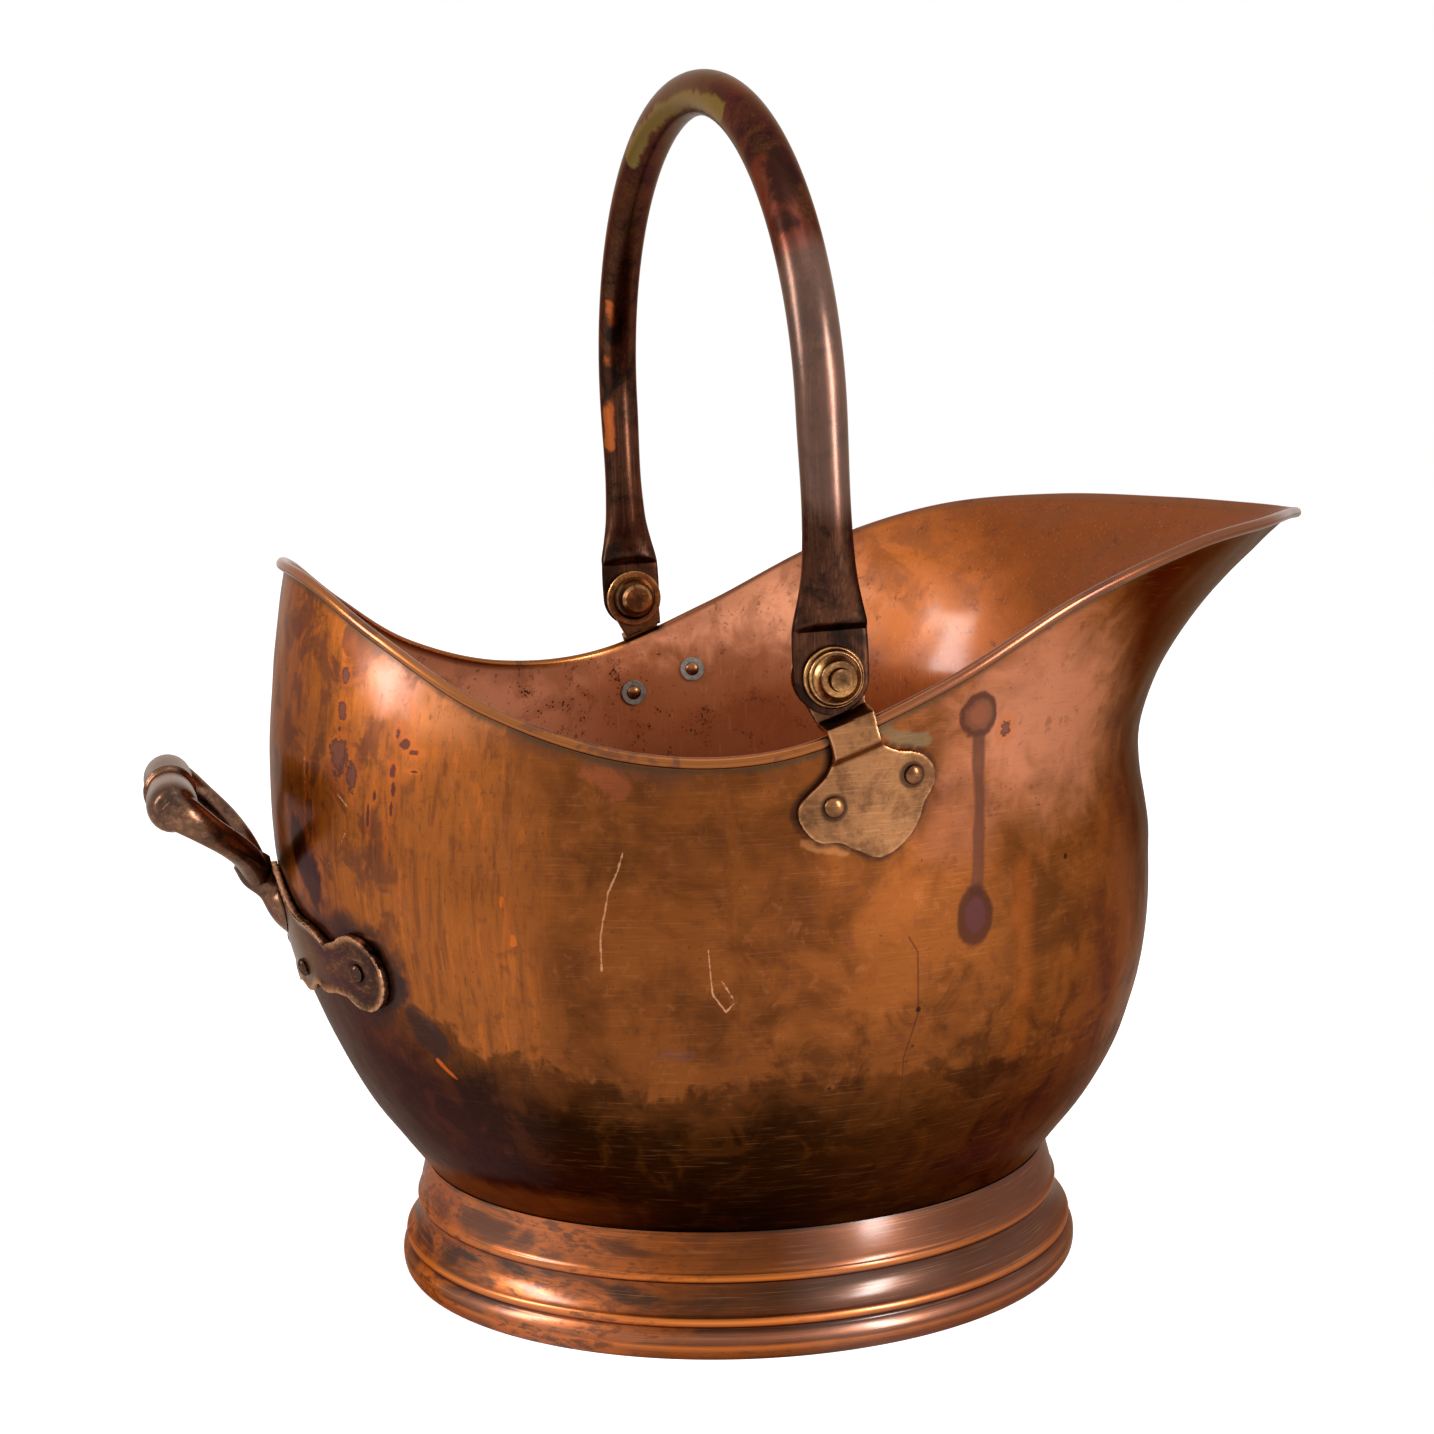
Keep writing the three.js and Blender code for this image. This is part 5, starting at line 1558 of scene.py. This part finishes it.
def makePivot(side, sign, s):
    hole = s["pinRadius"] + seatGap
    washerOuter = eyeFace - seatGap
    washerInner = washerOuter - s["washerThickness"]
    hub = washerInner - s["hubHeight"]
    button = hub - seatGap
    rose = strapOuter + seatGap
    end = rose + s["roseHeight"] + s["pinEnd"]
    radius, tall = s["buttonRadius"], s["buttonHeight"]
    pin = [
        (0, end),
        (s["pinRadius"] - s["pinChamfer"], end),
        (s["pinRadius"], end - s["pinChamfer"]),
        (s["pinRadius"], button),
        (radius, button),
        (radius, button - tall * 0.6),
        (radius * s["buttonTaper"], button - tall),
        (0, button - tall),
    ]
    washer = [
        (hole, hub),
        (s["hubRadius"] * s["hubTaper"], hub),
        (s["hubRadius"], washerInner),
        (s["washerRadius"] - s["washerChamfer"], washerInner),
        (s["washerRadius"], washerInner + s["washerChamfer"]),
        (s["washerRadius"], washerOuter),
        (hole, washerOuter),
    ]
    boss = [(r * s["roseRadius"], rose + h * s["roseHeight"]) for r, h in roseShares]
    boss = [(hole, rose), *rounded(boss, 2), (hole, rose + s["roseHeight"])]
    for kind, section, closed in (("pin", pin, False), ("washer", washer, True), ("rose", boss, True)):
        rows = turnedRows(section, (pivotX, 0, pivotZ), (0, sign, 0))
        piece = loft(side + kind.title(), rows, s["sides"], pivotBrass, closedRun=closed)
        places = placesOf(piece)
        radii = np.hypot(places[:, 0] - pivotX, places[:, 2] - pivotZ)[:, None]
        near = 1 - np.abs(radii - np.array(s["grooves"])) / s["grooveHalf"]
        addLayer(piece.data, "grimeAndShade", smooth(near).max(axis=1))
        dress(piece, pivotBrass, "scuttle", "fitting_brass", f"{side}_pivot_{kind}")


makePivot("near", -1, pivots)
makePivot("far", 1, pivots)

# Rivets through ears and plate, and their roves inside
rivet = {
    "shank": 1.9,
    "head": 3.3,
    "dome": 1.9,
    "clench": 2.9,
    "clenchDome": 1.3,
    "roveRadius": 5.1,
    "roveThickness": 0.9,
    "roveStand": 0.55,
    "sides": 40,
    "variation": 0.03,
    "seed": 4,
}


def dome(radius, height, base, sign=1):
    angles = np.linspace(turn / 4, 0, 8)
    return [(radius * math.cos(a), base + sign * height * math.sin(a)) for a in angles]


def earSeats(s):
    seats = []
    for sign in (-1, 1):
        for across in (-s["rivetHalf"], s["rivetHalf"]):
            x, z = earPoint(across, s["rivetDrop"])
            angle, share = sideOfWall(x, z)
            flip = np.array([1, sign, 1])
            seats.append((wall(angle, share)[0] * flip, wallNormal(angle, share)[0] * flip))
    return seats


def plateSeats(s):
    seats = []
    for sign in (-1, 1):
        for out, up in ((s["rivetOut"], s["rivetHeight"]), (s["lobeOut"], s["lobeHeight"])):
            place, way = rearPlace(np.array([sign * out]), up)
            seats.append((place[0], way[0]))
    return seats


def scattered(name, section, seats, finish, slot, nodes, s):
    shape = loft("shape", turnedRows(section, (-footX / mm, 0, 0)), s["sides"], finish)
    base = plainMesh(name, [place for place, _ in seats])
    addLayer(base, "out", [out for _, out in seats])
    values = {"Shape": shape, "Variation": s["variation"], "Seed": s["seed"], "Finish": finish}
    piece = settle(scatter.run(name, base, values))
    bpy.data.objects.remove(shape)
    return dress(piece, finish, "scuttle", slot, *nodes)


def makeRivets(s):
    seat = -bowl["sheet"] - s["roveStand"]
    tail = seat - s["roveThickness"] - seatGap
    earNames = [f"{side}_ear_{end}" for side in ("near", "far") for end in ("rear", "front")]
    plateNames = [f"{side}_plate_{end}" for side in ("near", "far") for end in ("inner", "lobe")]
    for name, seats, depth, finish, slot, nodes in (
        ("earRivets", earSeats(ear), ear["thickness"], earBrass, "fitting_brass", earNames),
        ("plateRivets", plateSeats(plate), plate["thickness"], plateCopper, "dark_copper", plateNames),
    ):
        top = depth + 2 * seatGap
        head = dome(s["head"], s["dome"], top)
        under = dome(s["clench"], s["clenchDome"], tail, -1)[::-1]
        section = [*head, (s["shank"], top), (s["shank"], tail), *under]
        scattered(name, section, seats, finish, slot, [n + "_rivet" for n in nodes], s)
    hole = s["shank"] + seatGap
    low = seat - s["roveThickness"]
    section = [(hole, seat), (s["roveRadius"], seat), (s["roveRadius"], low), (hole, low), (hole, seat)]
    nodes = [n + "_rove" for n in earNames + plateNames]
    scattered("roves", section, earSeats(ear) + plateSeats(plate), greyIron, "plain_iron", nodes, s)


makeRivets(rivet)

# Lights: narrow soft boxes either side of the camera and a wide one overhead
lights = {
    # Azimuth to the right of the camera, elevation, distance, width, height, radiance
    "right": (46, 18, 1.3, 0.22, 0.76, 25),
    "left": (-80, 29, 1.3, 0.26, 0.62, 15),
    "top": (10, 74, 1.4, 0.7, 0.5, 1.2),
    "aim": 0.16,  # height that they point at
    "world": 0.55,
    "floorHalf": 4,
    "floorDiffuse": 0.9,
    "floorCamera": 0.75,
    "floorGlossy": 0.1,
}


def makeLamp(name, azimuth, elevation, distance, width, height, radiance):
    data = bpy.data.lights.new(name, "AREA")
    data.shape = "RECTANGLE"
    data.size = width
    data.size_y = height
    data.energy = radiance * math.pi * width * height
    lamp = bpy.data.objects.new(name, data)
    turned = math.radians(cameraSettings["azimuth"] + azimuth)
    up = math.radians(elevation)
    way = Vector((math.sin(turned) * math.cos(up), -math.cos(turned) * math.cos(up), math.sin(up)))
    target = Vector((footX, 0, lights["aim"]))
    facing = way.to_track_quat("Z", "Y").to_matrix().to_4x4()
    lamp.matrix_world = Matrix.Translation(target + way * distance) @ facing
    lamp.visible_camera = False
    bpy.context.collection.objects.link(lamp)


def makeSurroundings(s):
    for name in ("right", "left", "top"):
        makeLamp(name, *s[name])
    world = bpy.data.worlds.new("world")
    world.use_nodes = True
    sky = Tree()
    sky.nodes = world.node_tree.nodes
    sky.links = world.node_tree.links
    sky.nodes.clear()
    rays = ("Is Camera Ray", "Is Glossy Ray", "Is Transmission Ray")
    seen = sky.pick("MAXIMUM", [sky.add("ShaderNodeLightPath", {}, {}, ray) for ray in rays])
    strength = seen * (1 - s["world"]) + s["world"]
    light = sky.add("ShaderNodeBackground", {}, {"Color": (1, 1, 1, 1), "Strength": strength})
    sky.add("ShaderNodeOutputWorld", {}, {"Surface": light})
    bpy.context.scene.world = world

    paint = Paint("floor")
    camera = paint.add("ShaderNodeLightPath", {}, {}, "Is Camera Ray")
    glossy = paint.add("ShaderNodeLightPath", {}, {}, "Is Glossy Ray")
    paint.finish({
        "Base Color": (s["floorDiffuse"],) * 3 + (1,),
        "Roughness": 1.0,
        "Specular IOR Level": 0.0,
        "Emission Color": (1, 1, 1, 1),
        "Emission Strength": camera * s["floorCamera"] + glossy * s["floorGlossy"],
    })
    mesh = bpy.data.meshes.new("floor")
    half = s["floorHalf"]
    corners = [(x * half, y * half, 0) for x, y in ((-1, -1), (1, -1), (1, 1), (-1, 1))]
    mesh.from_pydata(corners, [], [(0, 1, 2, 3)])
    mesh.materials.append(paint.material)
    floor = bpy.data.objects.new("floor", mesh)
    bpy.context.collection.objects.link(floor)
    print("lights, world and floor")


makeSurroundings(lights)
bpy.context.scene.view_settings.view_transform = "Standard"
